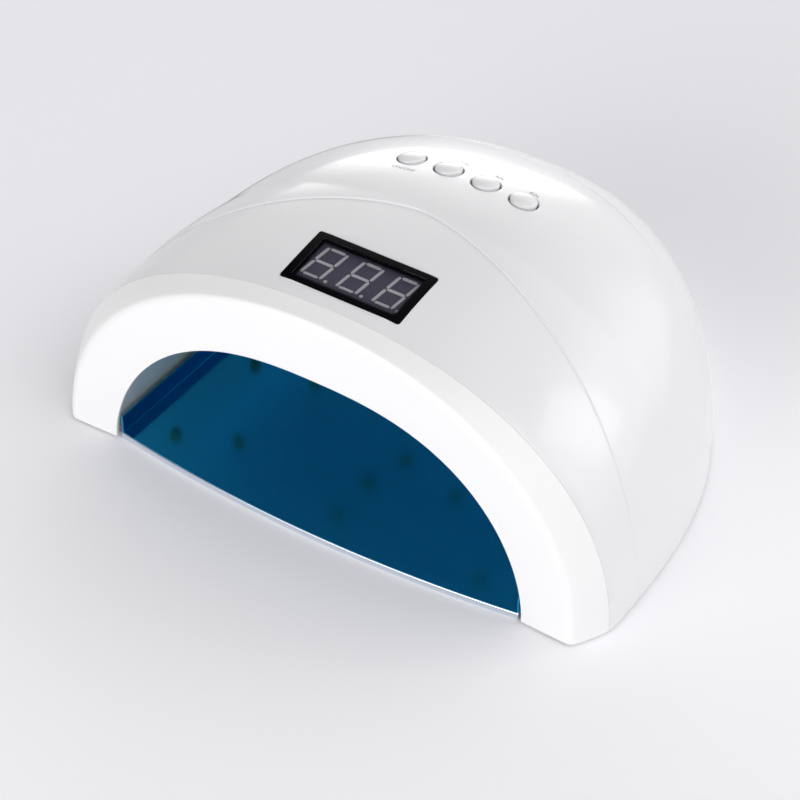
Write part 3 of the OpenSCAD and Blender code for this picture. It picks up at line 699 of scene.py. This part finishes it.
def liner_point(s, t):
    bent = limit((s - STRAIGHT_S) / (LINER_REACH - STRAIGHT_S))
    lowered = limit((s - LEVEL_S) / (LINER_REACH - LEVEL_S))
    a = LINER_A * (1 - bent ** LINER_PLAN) ** 0.5
    h = LINER_H * (1 - lowered ** LINER_CROWN) ** (1 / LINER_CLOSE)
    more = LINER_SQUARER * s / LINER_REACH
    return arch_point(a, h, t, s, OPENING_N + more, OPENING_M + more)


def liner_rule(i, j):
    t = math.pi * i / LINER_COLUMNS
    if j < len(liner_places):
        return liner_point(liner_places[j], t)
    return toward_foot(liner_point(LINER_END, t), LINER_CAPS[j - len(liner_places)])


print("lining:", len(liner_places), "rows and", LINER_COLUMNS, "columns")

# %% The lining and its holes
LENS_D = 5.0
LENS_GAP = 0.4
BOARD_GAP = 2.2
SENSOR_S = 16.4
SENSOR_R = 2.5
# each zone: place behind the face, angle over the arch, and the lenses' places on its board
zones = [
    (69, 105, [(-10, 0), (10, 0)]),
    (69, 75, [(-10, 0), (10, 0)]),
    (98, 90, [(-7, 0), (-2, -25), (-2, 25)]),
    (52, 149.5, [(-24, 9.3), (0, -9.3), (24, 9.3)]),
    (52, 30.5, [(-24, -9.3), (0, 9.3), (24, -9.3)]),
    (108, 140, [(u, 0) for u in (-13, 0, 13)]),
    (108, 40, [(u, 0) for u in (-13, 0, 13)]),
]


def on_liner(s, degrees):
    """A frame on the lining's outer side: x runs to the back and z points outward."""
    t = math.radians(degrees)
    back = (liner_point(s + 1, t) - liner_point(s - 1, t)).normalized()
    over = liner_point(s, t + math.radians(1)) - liner_point(s, t - math.radians(1))
    out = back.cross(over).normalized()
    turn = Matrix((back, out.cross(back), out)).transposed().to_4x4()
    return Matrix.Translation(liner_point(s, t)) @ turn


lens_hole = rod(LENS_D / 2 + LENS_GAP, -9, 3)
holes = []
for place, degrees, spots in zones:
    for u, v in spots:
        lens_place = on_liner(place, degrees) @ Matrix.Translation((u, v, BOARD_GAP))
        holes.append(cutter(moved(turned(lens_hole, 32), lens_place)))
print("lenses:", len(holes))
holes.append(cutter(moved(turned(rod(SENSOR_R, -6, 6), 32), on_liner(SENSOR_S, 90))))

liner = walled(net(LINER_COLUMNS, len(liner_places) - 1 + len(LINER_CAPS), liner_rule), LINER_WALL)
lining = finish_piece(cut(liner, holes), "cavity_lining", "reflector_mirror", "housing", "inner_reflector")

# %% [markdown]
# The tray is one bent sheet: a flat floor, flanges at its sides and back, and a front edge bent
# down to the table. The flanges and the front edge are sections swept along the tray's outline,
# with real bend radii, and four pressed feet carry the floor. All of them are joined into one
# closed piece, as the sheet is.

# %% The outline of the tray
TRAY_A = 81.6
TRAY_BACK = 148.0
TRAY_START = 1.5
TRAY_FULL = 2.6
TRAY_LIFT = 1.8
SHEET = 0.6
FLANGE_H = 7.6
BEND = 1.0
INNER_BEND = BEND - SHEET
EDGE_EASE = 0.15
FRONT_BOW = 6.25
BOW_X = 82.0
FRONT_STEPS = 64


def tray_front(x):
    return -NOSE + FRONT_BOW * (x / BOW_X) ** 2


def tray_half(s):
    bent = limit((s - STRAIGHT_S) / (TRAY_BACK + 1 - STRAIGHT_S))
    return TRAY_A * (1 - bent ** TRAY_FULL) ** 0.5


def along_path(path, profile):
    """A bar along a path of (x, s); its closed profile is (inward, up), with inward on the left."""
    def rule(i, k):
        x, s = path[k]
        x0, s0 = path[max(k - 1, 0)]
        x1, s1 = path[min(k + 1, len(path) - 1)]
        length = math.hypot(x1 - x0, s1 - s0)
        inward, up = profile[i]
        return Vector((x - (s1 - s0) / length * inward, y_of(s + (x1 - x0) / length * inward), up))

    return swept(len(profile), len(path) - 1, rule)


right_side = [(TRAY_A, s) for s in (TRAY_START, 14, 28, 42)]
right_side += [(tray_half(s), s) for s in slowing(STRAIGHT_S, TRAY_BACK, 48)]
side_path = right_side + [(-x, s) for x, s in reversed(right_side)]
front_across = [TRAY_A * (2 * k / FRONT_STEPS - 1) for k in range(FRONT_STEPS + 1)]
front_path = [(x, tray_front(x)) for x in front_across]
print("tray outline:", len(side_path) + len(front_path), "points")

# %% The tray
FLOOR_IN = 2.0
FRONT_SHARE = 0.99
UNDER_HEM = 3.0
CORNER_S = 12.0
LAP = 4.0
HEM_T = 1.0
HEM_LAP = 6.0
HEM_BEND = 0.4
FOOT_R = 4.0
SOLE_R = 2.7
FOOT_PLACES = [(55, 40), (-55, 40), (45, 110), (-45, 110)]
top = TRAY_LIFT + FLANGE_H
level = TRAY_LIFT + SHEET
flange = quarter((BEND, TRAY_LIFT + BEND), (-BEND, -BEND), 0)[::-1]
flange += [(0, top - EDGE_EASE), (EDGE_EASE, top), (SHEET - EDGE_EASE, top), (SHEET, top - EDGE_EASE)]
flange += quarter((SHEET + INNER_BEND, level + INNER_BEND), (-INNER_BEND, -INNER_BEND), 0, 4)
flange += [(LAP, level), (LAP, TRAY_LIFT)]
hem = [(0, 0), (HEM_T, 0), (HEM_T, TRAY_LIFT), (HEM_LAP, TRAY_LIFT), (HEM_LAP, level)]
hem += quarter((HEM_BEND, level - HEM_BEND), (-HEM_BEND, HEM_BEND), 0)[::-1]
joined = [cutter(along_path(side_path, flange)), cutter(along_path(front_path, hem))]

foot_top = TRAY_LIFT + SHEET / 2
foot = [(0, 0), (SOLE_R, 0), (SOLE_R + 0.4, 0.25), (FOOT_R, TRAY_LIFT), (FOOT_R, foot_top), (0, foot_top)]
for x, s in FOOT_PLACES:
    joined.append(cutter(moved(turned(foot, 40), Matrix.Translation((x, y_of(s), 0)))))

narrower = 1 - FLOOR_IN / TRAY_A
shorter = 1 - FLOOR_IN / TRAY_BACK
floor_front = [(x * FRONT_SHARE, y_of(s + UNDER_HEM)) for x, s in front_path]
floor_side = [(x * narrower, y_of(s * shorter)) for x, s in side_path if s > CORNER_S]
tray_floor = moved(slab(floor_front + floor_side, SHEET), Matrix.Translation((0, 0, TRAY_LIFT)))
tray = finish_piece(cut(tray_floor, joined, "UNION"), "tray_pan", "tray_steel", "tray", "reflector_tray")

# %% [markdown]
# The window is a small slab with softened edges. Only its middle is clear: the border is printed
# black from behind, so the finish tells the two apart and the shape stays simple.

# %% The display window
EDGE_SOFT = 0.25
window = slab(rounded(WINDOW_W, WINDOW_L, WINDOW_R), WINDOW_T)
top_edges = [e for e in window.edges if all(v.co.z > WINDOW_T - 0.01 for v in e.verts)]
bmesh.ops.bevel(window, geom=top_edges, offset=EDGE_SOFT, segments=3, profile=0.5,
                affect="EDGES", material=-1)
moved(window, DISPLAY_FRAME @ Matrix.Translation((0, 0, -WINDOW_T)))
window_piece = finish_piece(window, "window_pane", "smoked_window", "housing", "display_window")

# %% [markdown]
# Materials. One node group gives every finish its surface life: a slow drift of colour, a finer
# change of roughness where hands and cloths have been, and a bump for the grain of the tool that
# made the piece. Each material places the group with its own colours and scales and keeps its
# own shader.

# %% The shared surface group
DRIFT_DETAIL = 3
RUB_SCALE = 45
RUB_DETAIL = 6
RUB_ROUGHNESS = 0.65
GRAIN_DETAIL = 2


def noise(tree, scale, detail, where):
    """A noise texture; its scale is a number or a socket."""
    texture = tree.nodes.new("ShaderNodeTexNoise")
    texture.inputs["Detail"].default_value = detail
    tree.links.new(where, texture.inputs["Vector"])
    join(tree, scale, texture.inputs["Scale"])
    return texture


def join(tree, value, socket):
    """Links the value to the socket, or sets it there where it is a plain number."""
    if isinstance(value, bpy.types.NodeSocket):
        tree.links.new(value, socket)
    else:
        socket.default_value = value


def reckon(tree, operation, *values):
    """A Math node over sockets or numbers."""
    node = tree.nodes.new("ShaderNodeMath")
    node.operation = operation
    for value, socket in zip(values, node.inputs):
        join(tree, value, socket)
    return node.outputs[0]


def blend(tree, share, first, second):
    """The first colour where the share is 0 and the second where it is 1."""
    node = tree.nodes.new("ShaderNodeMix")
    node.data_type = "RGBA"
    join(tree, share, node.inputs["Factor"])
    join(tree, first, node.inputs[6])
    join(tree, second, node.inputs[7])
    return node.outputs[2]


def surface_group():
    group = bpy.data.node_groups.new("surface_life", "ShaderNodeTree")
    inputs = [
        ("Vector", "NodeSocketVector", None),
        ("Color", "NodeSocketColor", (0.8, 0.8, 0.8, 1)),
        ("Drift Color", "NodeSocketColor", (0.7, 0.7, 0.7, 1)),
        ("Drift", "NodeSocketFloat", 0.5),
        ("Drift Scale", "NodeSocketFloat", 30.0),
        ("Roughness", "NodeSocketFloat", 0.3),
        ("Handling", "NodeSocketFloat", 0.1),
        ("Grain Scale", "NodeSocketFloat", 800.0),
    ]
    for name, kind, value in inputs:
        socket = group.interface.new_socket(name=name, in_out="INPUT", socket_type=kind)
        if value is not None:
            socket.default_value = value
    outputs = [("Color", "NodeSocketColor"), ("Roughness", "NodeSocketFloat"), ("Grain", "NodeSocketFloat")]
    for name, kind in outputs:
        group.interface.new_socket(name=name, in_out="OUTPUT", socket_type=kind)
    given = group.nodes.new("NodeGroupInput").outputs
    result = group.nodes.new("NodeGroupOutput").inputs

    drift = noise(group, given["Drift Scale"], DRIFT_DETAIL, given["Vector"])
    amount = reckon(group, "MULTIPLY", drift.outputs["Fac"], given["Drift"])
    group.links.new(blend(group, amount, given["Color"], given["Drift Color"]), result["Color"])

    rub = noise(group, RUB_SCALE, RUB_DETAIL, given["Vector"])
    rub.inputs["Roughness"].default_value = RUB_ROUGHNESS
    centred = reckon(group, "SUBTRACT", rub.outputs["Fac"], 0.5)
    rubbed = reckon(group, "MULTIPLY_ADD", centred, given["Handling"], given["Roughness"])
    group.links.new(rubbed, result["Roughness"])

    grain = noise(group, given["Grain Scale"], GRAIN_DETAIL, given["Vector"])
    group.links.new(grain.outputs["Fac"], result["Grain"])
    return group


SURFACE = surface_group()
print("surface group:", len(SURFACE.nodes), "nodes")

# %% [markdown]
# A finish is that group in front of a shader of its own. Some finishes change over the piece in a
# known place, as a film or a printed border does. Painting a picture of it would tie the piece to
# a map, so a mask is reckoned from the place on the piece instead, and the colour is mixed by it.

# %% Finishes
GRAIN_DEPTH = 0.0001


def shader_of(material):
    return material.node_tree.nodes["Principled BSDF"]


def object_place(tree):
    """The place on the piece, in its own metres, which the textures and masks read."""
    return tree.nodes.new("ShaderNodeTexCoord").outputs["Object"]


def finish_of(name, color, drift_color, drift=0.5, drift_scale=30.0, roughness=0.3, handling=0.1,
              grain_scale=900.0, bump=0.02, stretch=None, **uniform):
    """A material with the shared surface group in front of its own shader. Uniform values go
    straight to the shader's sockets."""
    material = bpy.data.materials.new(name)
    material.use_nodes = True
    tree = material.node_tree
    shader = shader_of(material)
    group = tree.nodes.new("ShaderNodeGroup")
    group.node_tree = SURFACE
    where = object_place(tree)
    if stretch:
        mapping = tree.nodes.new("ShaderNodeMapping")
        mapping.inputs["Scale"].default_value = stretch
        tree.links.new(where, mapping.inputs["Vector"])
        where = mapping.outputs["Vector"]
    tree.links.new(where, group.inputs["Vector"])
    for socket, value in [("Color", (*color, 1)), ("Drift Color", (*drift_color, 1)), ("Drift", drift),
                          ("Drift Scale", drift_scale), ("Roughness", roughness), ("Handling", handling),
                          ("Grain Scale", grain_scale)]:
        group.inputs[socket].default_value = value
    tree.links.new(group.outputs["Color"], shader.inputs["Base Color"])
    tree.links.new(group.outputs["Roughness"], shader.inputs["Roughness"])
    relief = tree.nodes.new("ShaderNodeBump")
    relief.inputs["Strength"].default_value = bump
    relief.inputs["Distance"].default_value = GRAIN_DEPTH
    tree.links.new(group.outputs["Grain"], relief.inputs["Height"])
    tree.links.new(relief.outputs["Normal"], shader.inputs["Normal"])
    for socket, value in uniform.items():
        shader.inputs[socket.replace("_", " ")].default_value = value
    return material


def recolour(material, color, mask):
    """Mixes the material's colour toward another one where the mask, a socket, is 1."""
    tree = material.node_tree
    base = shader_of(material).inputs["Base Color"]
    tree.links.new(blend(tree, mask, base.links[0].from_socket, (*color, 1)), base)


def fade(tree, value, start, stop, low=0.0, high=1.0):
    """A smooth change from low to high while the value goes from start to stop."""
    ramp = tree.nodes.new("ShaderNodeMapRange")
    ramp.interpolation_type = "SMOOTHSTEP"
    for socket, number in [("From Min", start), ("From Max", stop), ("To Min", low), ("To Max", high)]:
        ramp.inputs[socket].default_value = number
    tree.links.new(value, ramp.inputs["Value"])
    return ramp.outputs["Result"]


def distance_along(tree, place, direction):
    """How far a place, a socket, lies in a direction."""
    dot = tree.nodes.new("ShaderNodeVectorMath")
    dot.operation = "DOT_PRODUCT"
    dot.inputs[1].default_value = direction
    tree.links.new(place, dot.inputs[0])
    return dot.outputs["Value"]


def dress(material, *things):
    """Puts the material on pieces, or on nodes given by name."""
    for thing in things:
        piece = nodes[thing] if isinstance(thing, str) else thing
        if piece.material_slots:
            for slot in piece.material_slots:
                slot.material = material
        else:
            piece.data.materials.append(material)
    print(material.name, "on", len(things), "pieces")


# %% [markdown]
# The white mouldings come from three moulds. The shell is polished and shows a clear coat of
# gloss, the arch is satin and a little whiter, partly its own white and partly painted light that
# brightens its rim band, and the base ring, which lies out of sight, has the plain spark texture of
# an unpolished mould.

# %% Plastics
shell_white = finish_of("shell_white", (0.79, 0.79, 0.805), (0.755, 0.755, 0.77), roughness=0.3,
                        handling=0.05, grain_scale=260, bump=0.05, Coat_Weight=0.6, Coat_Roughness=0.09)
# the arch's white is set above the shell's: partly its own colour, partly painted light on its rim band
arch_white = finish_of("arch_white", (0.87, 0.87, 0.875), (0.85, 0.85, 0.855), roughness=0.38,
                       handling=0.06, grain_scale=420, bump=0.06)
base_white = finish_of("base_white", (0.74, 0.74, 0.755), (0.68, 0.68, 0.70), drift=0.6, roughness=0.55,
                       handling=0.12, grain_scale=1500, bump=0.35)
button_white = finish_of("button_white", (0.78, 0.78, 0.79), (0.74, 0.74, 0.75), roughness=0.3,
                         handling=0.08, grain_scale=500, bump=0.03, Coat_Weight=0.4, Coat_Roughness=0.12)
label_ink = finish_of("label_ink", (0.25, 0.25, 0.26), (0.32, 0.32, 0.33), drift=0.6, roughness=0.45)
dress(shell_white, top_shell, "top_shell")
dress(arch_white, front_arch, "front_arch")
dress(base_white, "base_ring")
dress(button_white, *caps, "button_on_off", "button_10s", "button_30s", "button_60s")
dress(label_ink, *labels)

# %% [markdown]
# The lining is plastic under a thin layer of metal, so it mirrors only in part. The tray is
# polished steel under a clear blue film: the film lies on the floor and is wrapped over the
# flanges, so everything above the sheet's own face takes the film's colour.

# %% Metals and mirrors
FILM_BLUE = (0.018, 0.38, 0.69)
FILM_DEEP = (0.014, 0.33, 0.62)
FILM_FROM = TRAY_LIFT + SHEET + 0.02
lining_mirror = finish_of("reflector_mirror", (0.90, 0.91, 0.86), (0.85, 0.87, 0.82), roughness=0.42,
                          handling=0.06, grain_scale=300, bump=0.04, Metallic=0.35)
tray_steel = finish_of("tray_steel", (0.76, 0.82, 0.90), (0.66, 0.71, 0.78), drift=0.6, roughness=0.16,
                       handling=0.1, bump=0.04, stretch=(1, 0.03, 1), Metallic=1.0)
blue_film = finish_of("blue_film", FILM_BLUE, FILM_DEEP, drift=0.4, drift_scale=12, roughness=0.13,
                      handling=0.03, grain_scale=90, Metallic=1.0)


def above(material, height):
    """A mask that is 1 above a height, in millimetres."""
    tree = material.node_tree
    split = tree.nodes.new("ShaderNodeSeparateXYZ")
    tree.links.new(object_place(tree), split.inputs[0])
    return reckon(tree, "GREATER_THAN", split.outputs["Z"], height * MM)


recolour(tray_steel, FILM_DEEP, above(tray_steel, FILM_FROM))
dress(lining_mirror, lining, "inner_reflector")
dress(tray_steel, tray, "reflector_tray")
dress(blue_film, "tray_film")

# %% [markdown]
# The window's border is printed black and its middle is smoked but clear. A mask in the window's
# own frame tells them apart: the distance from the middle along and across the window, each
# with a short soft edge, sets how opaque the pane is.

# %% The display
FIELD_W = WINDOW_W / 2 - 3.5
FIELD_L = WINDOW_L / 2 - 2.8
FIELD_SOFT = 0.8
CLEAR_ALPHA = 0.1
window_smoke = finish_of("smoked_window", (0.002, 0.002, 0.003), (0.003, 0.003, 0.004), roughness=0.07,
                         handling=0.04, grain_scale=200, bump=0.01, Specular_IOR_Level=0.05)


def inside_half(tree, value, half):
    """1 within half the width, in millimetres, and 0 beyond it, with a soft edge."""
    size = reckon(tree, "ABSOLUTE", value)
    return fade(tree, size, (half - FIELD_SOFT) * MM, (half + FIELD_SOFT) * MM, 1, 0)


def clear_middle(material, clear_alpha):
    tree = material.node_tree
    local = tree.nodes.new("ShaderNodeMapping")
    local.vector_type = "TEXTURE"
    local.inputs["Location"].default_value = DISPLAY_FRAME.translation * MM
    local.inputs["Rotation"].default_value = (WINDOW_TILT, 0, 0)
    tree.links.new(object_place(tree), local.inputs["Vector"])
    split = tree.nodes.new("ShaderNodeSeparateXYZ")
    tree.links.new(local.outputs["Vector"], split.inputs[0])
    across = inside_half(tree, split.outputs["X"], FIELD_W)
    back = inside_half(tree, split.outputs["Y"], FIELD_L)
    field = reckon(tree, "MULTIPLY", across, back)
    alpha = reckon(tree, "MULTIPLY_ADD", field, clear_alpha - 1, 1)
    tree.links.new(alpha, shader_of(material).inputs["Alpha"])


clear_middle(window_smoke, CLEAR_ALPHA)
module_face = finish_of("module_grey", (0.075, 0.071, 0.115), (0.06, 0.057, 0.09), roughness=0.5)
segments = finish_of("segment_grey", (0.52, 0.52, 0.56), (0.45, 0.45, 0.49), roughness=0.5)
dress(window_smoke, window_piece, "display_window")
dress(module_face, "display_module")
dress(segments, "digit_segments")

# %% [markdown]
# The pieces inside are small, and most are seen only when the lamp is open. Each still has its
# real finish: two close colours, a roughness, and metal or not, all through the same group.

# %% The small inner pieces
PLUNGERS = ["plunger_on_off", "plunger_10s", "plunger_30s", "plunger_60s"]
LED_BOARDS = ["led_board_left_crown", "led_board_right_crown", "led_board_rear_crown", "led_board_left",
              "led_board_right", "led_board_rear_left", "led_board_rear_right"]
SCREWS = ["base_screws", "board_screws", "led_screws"]
# each finish: its name, its two colours, its roughness, how metallic it is, and its nodes
inner_finishes = [
    ("board_green", (0.02, 0.13, 0.05), (0.01, 0.09, 0.03), 0.35, 0.0, ["display_board", "control_board"]),
    ("ribbon_white", (0.72, 0.72, 0.70), (0.62, 0.62, 0.6), 0.5, 0.0, ["board_ribbon"]),
    ("chip_black", (0.02, 0.02, 0.02), (0.03, 0.03, 0.03), 0.5, 0.0, ["driver_chip"]),
    ("buzzer_black", (0.02, 0.02, 0.022), (0.035, 0.035, 0.035), 0.45, 0.0, ["buzzer"]),
    ("capacitor_blue", (0.03, 0.05, 0.18), (0.02, 0.035, 0.12), 0.35, 0.0, ["capacitors"]),
    ("plunger_black", (0.025, 0.025, 0.025), (0.04, 0.04, 0.04), 0.45, 0.0, PLUNGERS),
    ("switch_steel", (0.55, 0.55, 0.57), (0.45, 0.45, 0.47), 0.3, 1.0, ["tact_switches"]),
    ("led_board_white", (0.78, 0.78, 0.75), (0.7, 0.7, 0.66), 0.4, 0.0, LED_BOARDS),
    ("led_lens", (0.40, 0.44, 0.16), (0.33, 0.36, 0.12), 0.12, 0.0, ["led_beads"]),
    ("sensor_black", (0.012, 0.010, 0.018), (0.02, 0.018, 0.03), 0.12, 0.0, ["hand_sensor", "sensor_window"]),
    ("jack_black", (0.02, 0.02, 0.02), (0.035, 0.035, 0.035), 0.4, 0.0, ["dc_jack"]),
    ("contact_metal", (0.75, 0.73, 0.68), (0.62, 0.6, 0.55), 0.2, 1.0, ["dc_jack_pin"]),
    ("magnet_nickel", (0.7, 0.69, 0.66), (0.6, 0.59, 0.56), 0.2, 1.0, ["magnets"]),
    ("foot_rubber", (0.09, 0.09, 0.092), (0.06, 0.06, 0.062), 0.75, 0.0, ["rubber_feet"]),
    ("screw_steel", (0.58, 0.58, 0.6), (0.45, 0.45, 0.48), 0.28, 1.0, SCREWS),
]
for name, color, drift_color, roughness, metallic, members in inner_finishes:
    dress(finish_of(name, color, drift_color, roughness=roughness, Metallic=metallic), *members)

# %% [markdown]
# The set is one wide sheet of pale paper. It is a little lighter toward the viewer, as the
# sweep in the photograph is, and that change is painted light laid into the paper's colour. The
# backdrop is kept pale by its camera ray: behind the lamp's left side the paper is painted dark for
# every other ray, a painted dark reflection that the gloss mirrors as the thin grey edge along the
# dome there, while the camera still sees the paper.

# %% Floor
FLOOR_SIZE = 4.0
FAR_PAPER = (0.895, 0.885, 0.925)
NEAR_PAPER_PAINTED_LIGHT = (0.975, 0.965, 0.995)
FADE_FROM = -0.08
FADE_TO = 0.05


def floor_piece():
    bm = bmesh.new()
    bmesh.ops.create_grid(bm, x_segments=8, y_segments=8, size=FLOOR_SIZE)
    mesh = bpy.data.meshes.new("floor")
    bm.to_mesh(mesh)
    bm.free()
    piece = bpy.data.objects.new("floor", mesh)
    bpy.context.scene.collection.objects.link(piece)
    return piece


floor = floor_piece()
paper = finish_of("floor_paper", FAR_PAPER, (0.88, 0.87, 0.91), drift=0.3, drift_scale=3, roughness=0.6,
                  handling=0.05, grain_scale=200, bump=0.01, Specular_IOR_Level=0.2)
dress(paper, floor)


def painted_light_nearness(tree):
    """0 on the paper behind the lamp and 1 on the paper in front, as the camera looks: where the painted
    light is laid in.
    """
    nearer = distance_along(tree, object_place(tree), toward(CAMERA_AROUND, 0))
    return fade(tree, nearer, FADE_FROM, FADE_TO)


# painted light: the paper's colour is made lighter toward the viewer
recolour(paper, NEAR_PAPER_PAINTED_LIGHT, painted_light_nearness(paper.node_tree))

# %% The painted dark reflection
PAINTED_REFLECTION_DARK = (0.10, 0.10, 0.105)
PAINTED_REFLECTION_SOFT = 0.02
# the four edges of the painted dark reflection: degrees round from the front, and where it starts that way,
# in metres
PAINTED_REFLECTION_EDGES = [(-56.2, 0.010), (123.8, -0.108), (256, 0.085), (76, -0.182)]


def painted_reflection_mask(tree):
    """1 on the patch of painted dark reflection for every ray but the camera's, and 0 elsewhere."""
    is_camera = tree.nodes.new("ShaderNodeLightPath").outputs["Is Camera Ray"]
    share = reckon(tree, "SUBTRACT", 1, is_camera)
    place = object_place(tree)
    for around, start in PAINTED_REFLECTION_EDGES:
        beyond = distance_along(tree, place, toward(math.radians(around), 0))
        share = reckon(tree, "MULTIPLY", share, fade(tree, beyond, start - PAINTED_REFLECTION_SOFT, start + PAINTED_REFLECTION_SOFT))
    return share


# painted dark reflection: behind the lamp's left side the paper turns dark for every ray but the camera's
recolour(paper, PAINTED_REFLECTION_DARK, painted_reflection_mask(paper.node_tree))
print("paper:", len(paper.node_tree.nodes), "nodes")

# %% [markdown]
# White gloss plastic shows the room more than its own colour, so the room is built with care.
# Two rectangular lamps have clear edges: a tall strip at the back right makes the highlight on the
# flank, and a wide one in front fills the face of the arch. The rest is a dim sky with wide soft
# spots, as walls lit by bounced light; the low ones behind brighten the crown. Lamps all round
# would do the same, but their edges would show in the gloss.

# %% Lamps
LAMP_DISTANCE = 1.6


def panel(name, around, above, width, height, watts):
    data = bpy.data.lights.new(name, "AREA")
    data.shape = "RECTANGLE"
    data.size = width
    data.size_y = height
    data.energy = watts
    lamp = bpy.data.objects.new(name, data)
    bpy.context.scene.collection.objects.link(lamp)
    lamp.location = from_target(math.radians(around), math.radians(above), LAMP_DISTANCE)
    aim(lamp, CAMERA_TARGET)
    print(name, watts, "W")


panel("strip_lamp", 134, 27, 0.3, 0.85, 1.35)
panel("front_lamp", -12, 20, 1.4, 0.7, 5.6)

# %% Sky
SKY_BASE = 0.05
# each spot: degrees round from the front and above the floor, the radii where it starts to fade
# and where it ends, and how bright it is
sky_spots = [
    (-135, 12, 5, 38, 0.85), (-180, 12, 5, 38, 1.02), (0, 12, 5, 38, 1.9), (45, 12, 5, 38, 0.15),
    (135, 12, 5, 38, 1.45), (-165, 47, 5, 38, 0.38), (75, 47, 5, 38, 1.55), (135, 47, 5, 38, 0.78),
    (-150, 4, 0, 20, 1.55), (-150, 0, 2, 20, 1.70), (-5, 4, 0, 25, 2.0), (-50, 48, 5, 38, 0.35),
]
world = bpy.data.worlds.new("sky")
bpy.context.scene.world = world
world.use_nodes = True
sky = world.node_tree
looking = sky.nodes.new("ShaderNodeTexCoord").outputs["Generated"]
total = SKY_BASE
for around, above_floor, inner, outer, strength in sky_spots:
    centre = toward(math.radians(around), math.radians(above_floor))
    closeness = distance_along(sky, looking, centre)
    glow = fade(sky, closeness, math.cos(math.radians(outer)), math.cos(math.radians(inner)), 0, strength)
    total = reckon(sky, "ADD", total, glow)
sky.nodes["Background"].inputs["Color"].default_value = (1, 1, 1, 1)
sky.links.new(total, sky.nodes["Background"].inputs["Strength"])
print("sky:", len(sky_spots), "spots")

bpy.context.scene.view_settings.view_transform = "Standard"
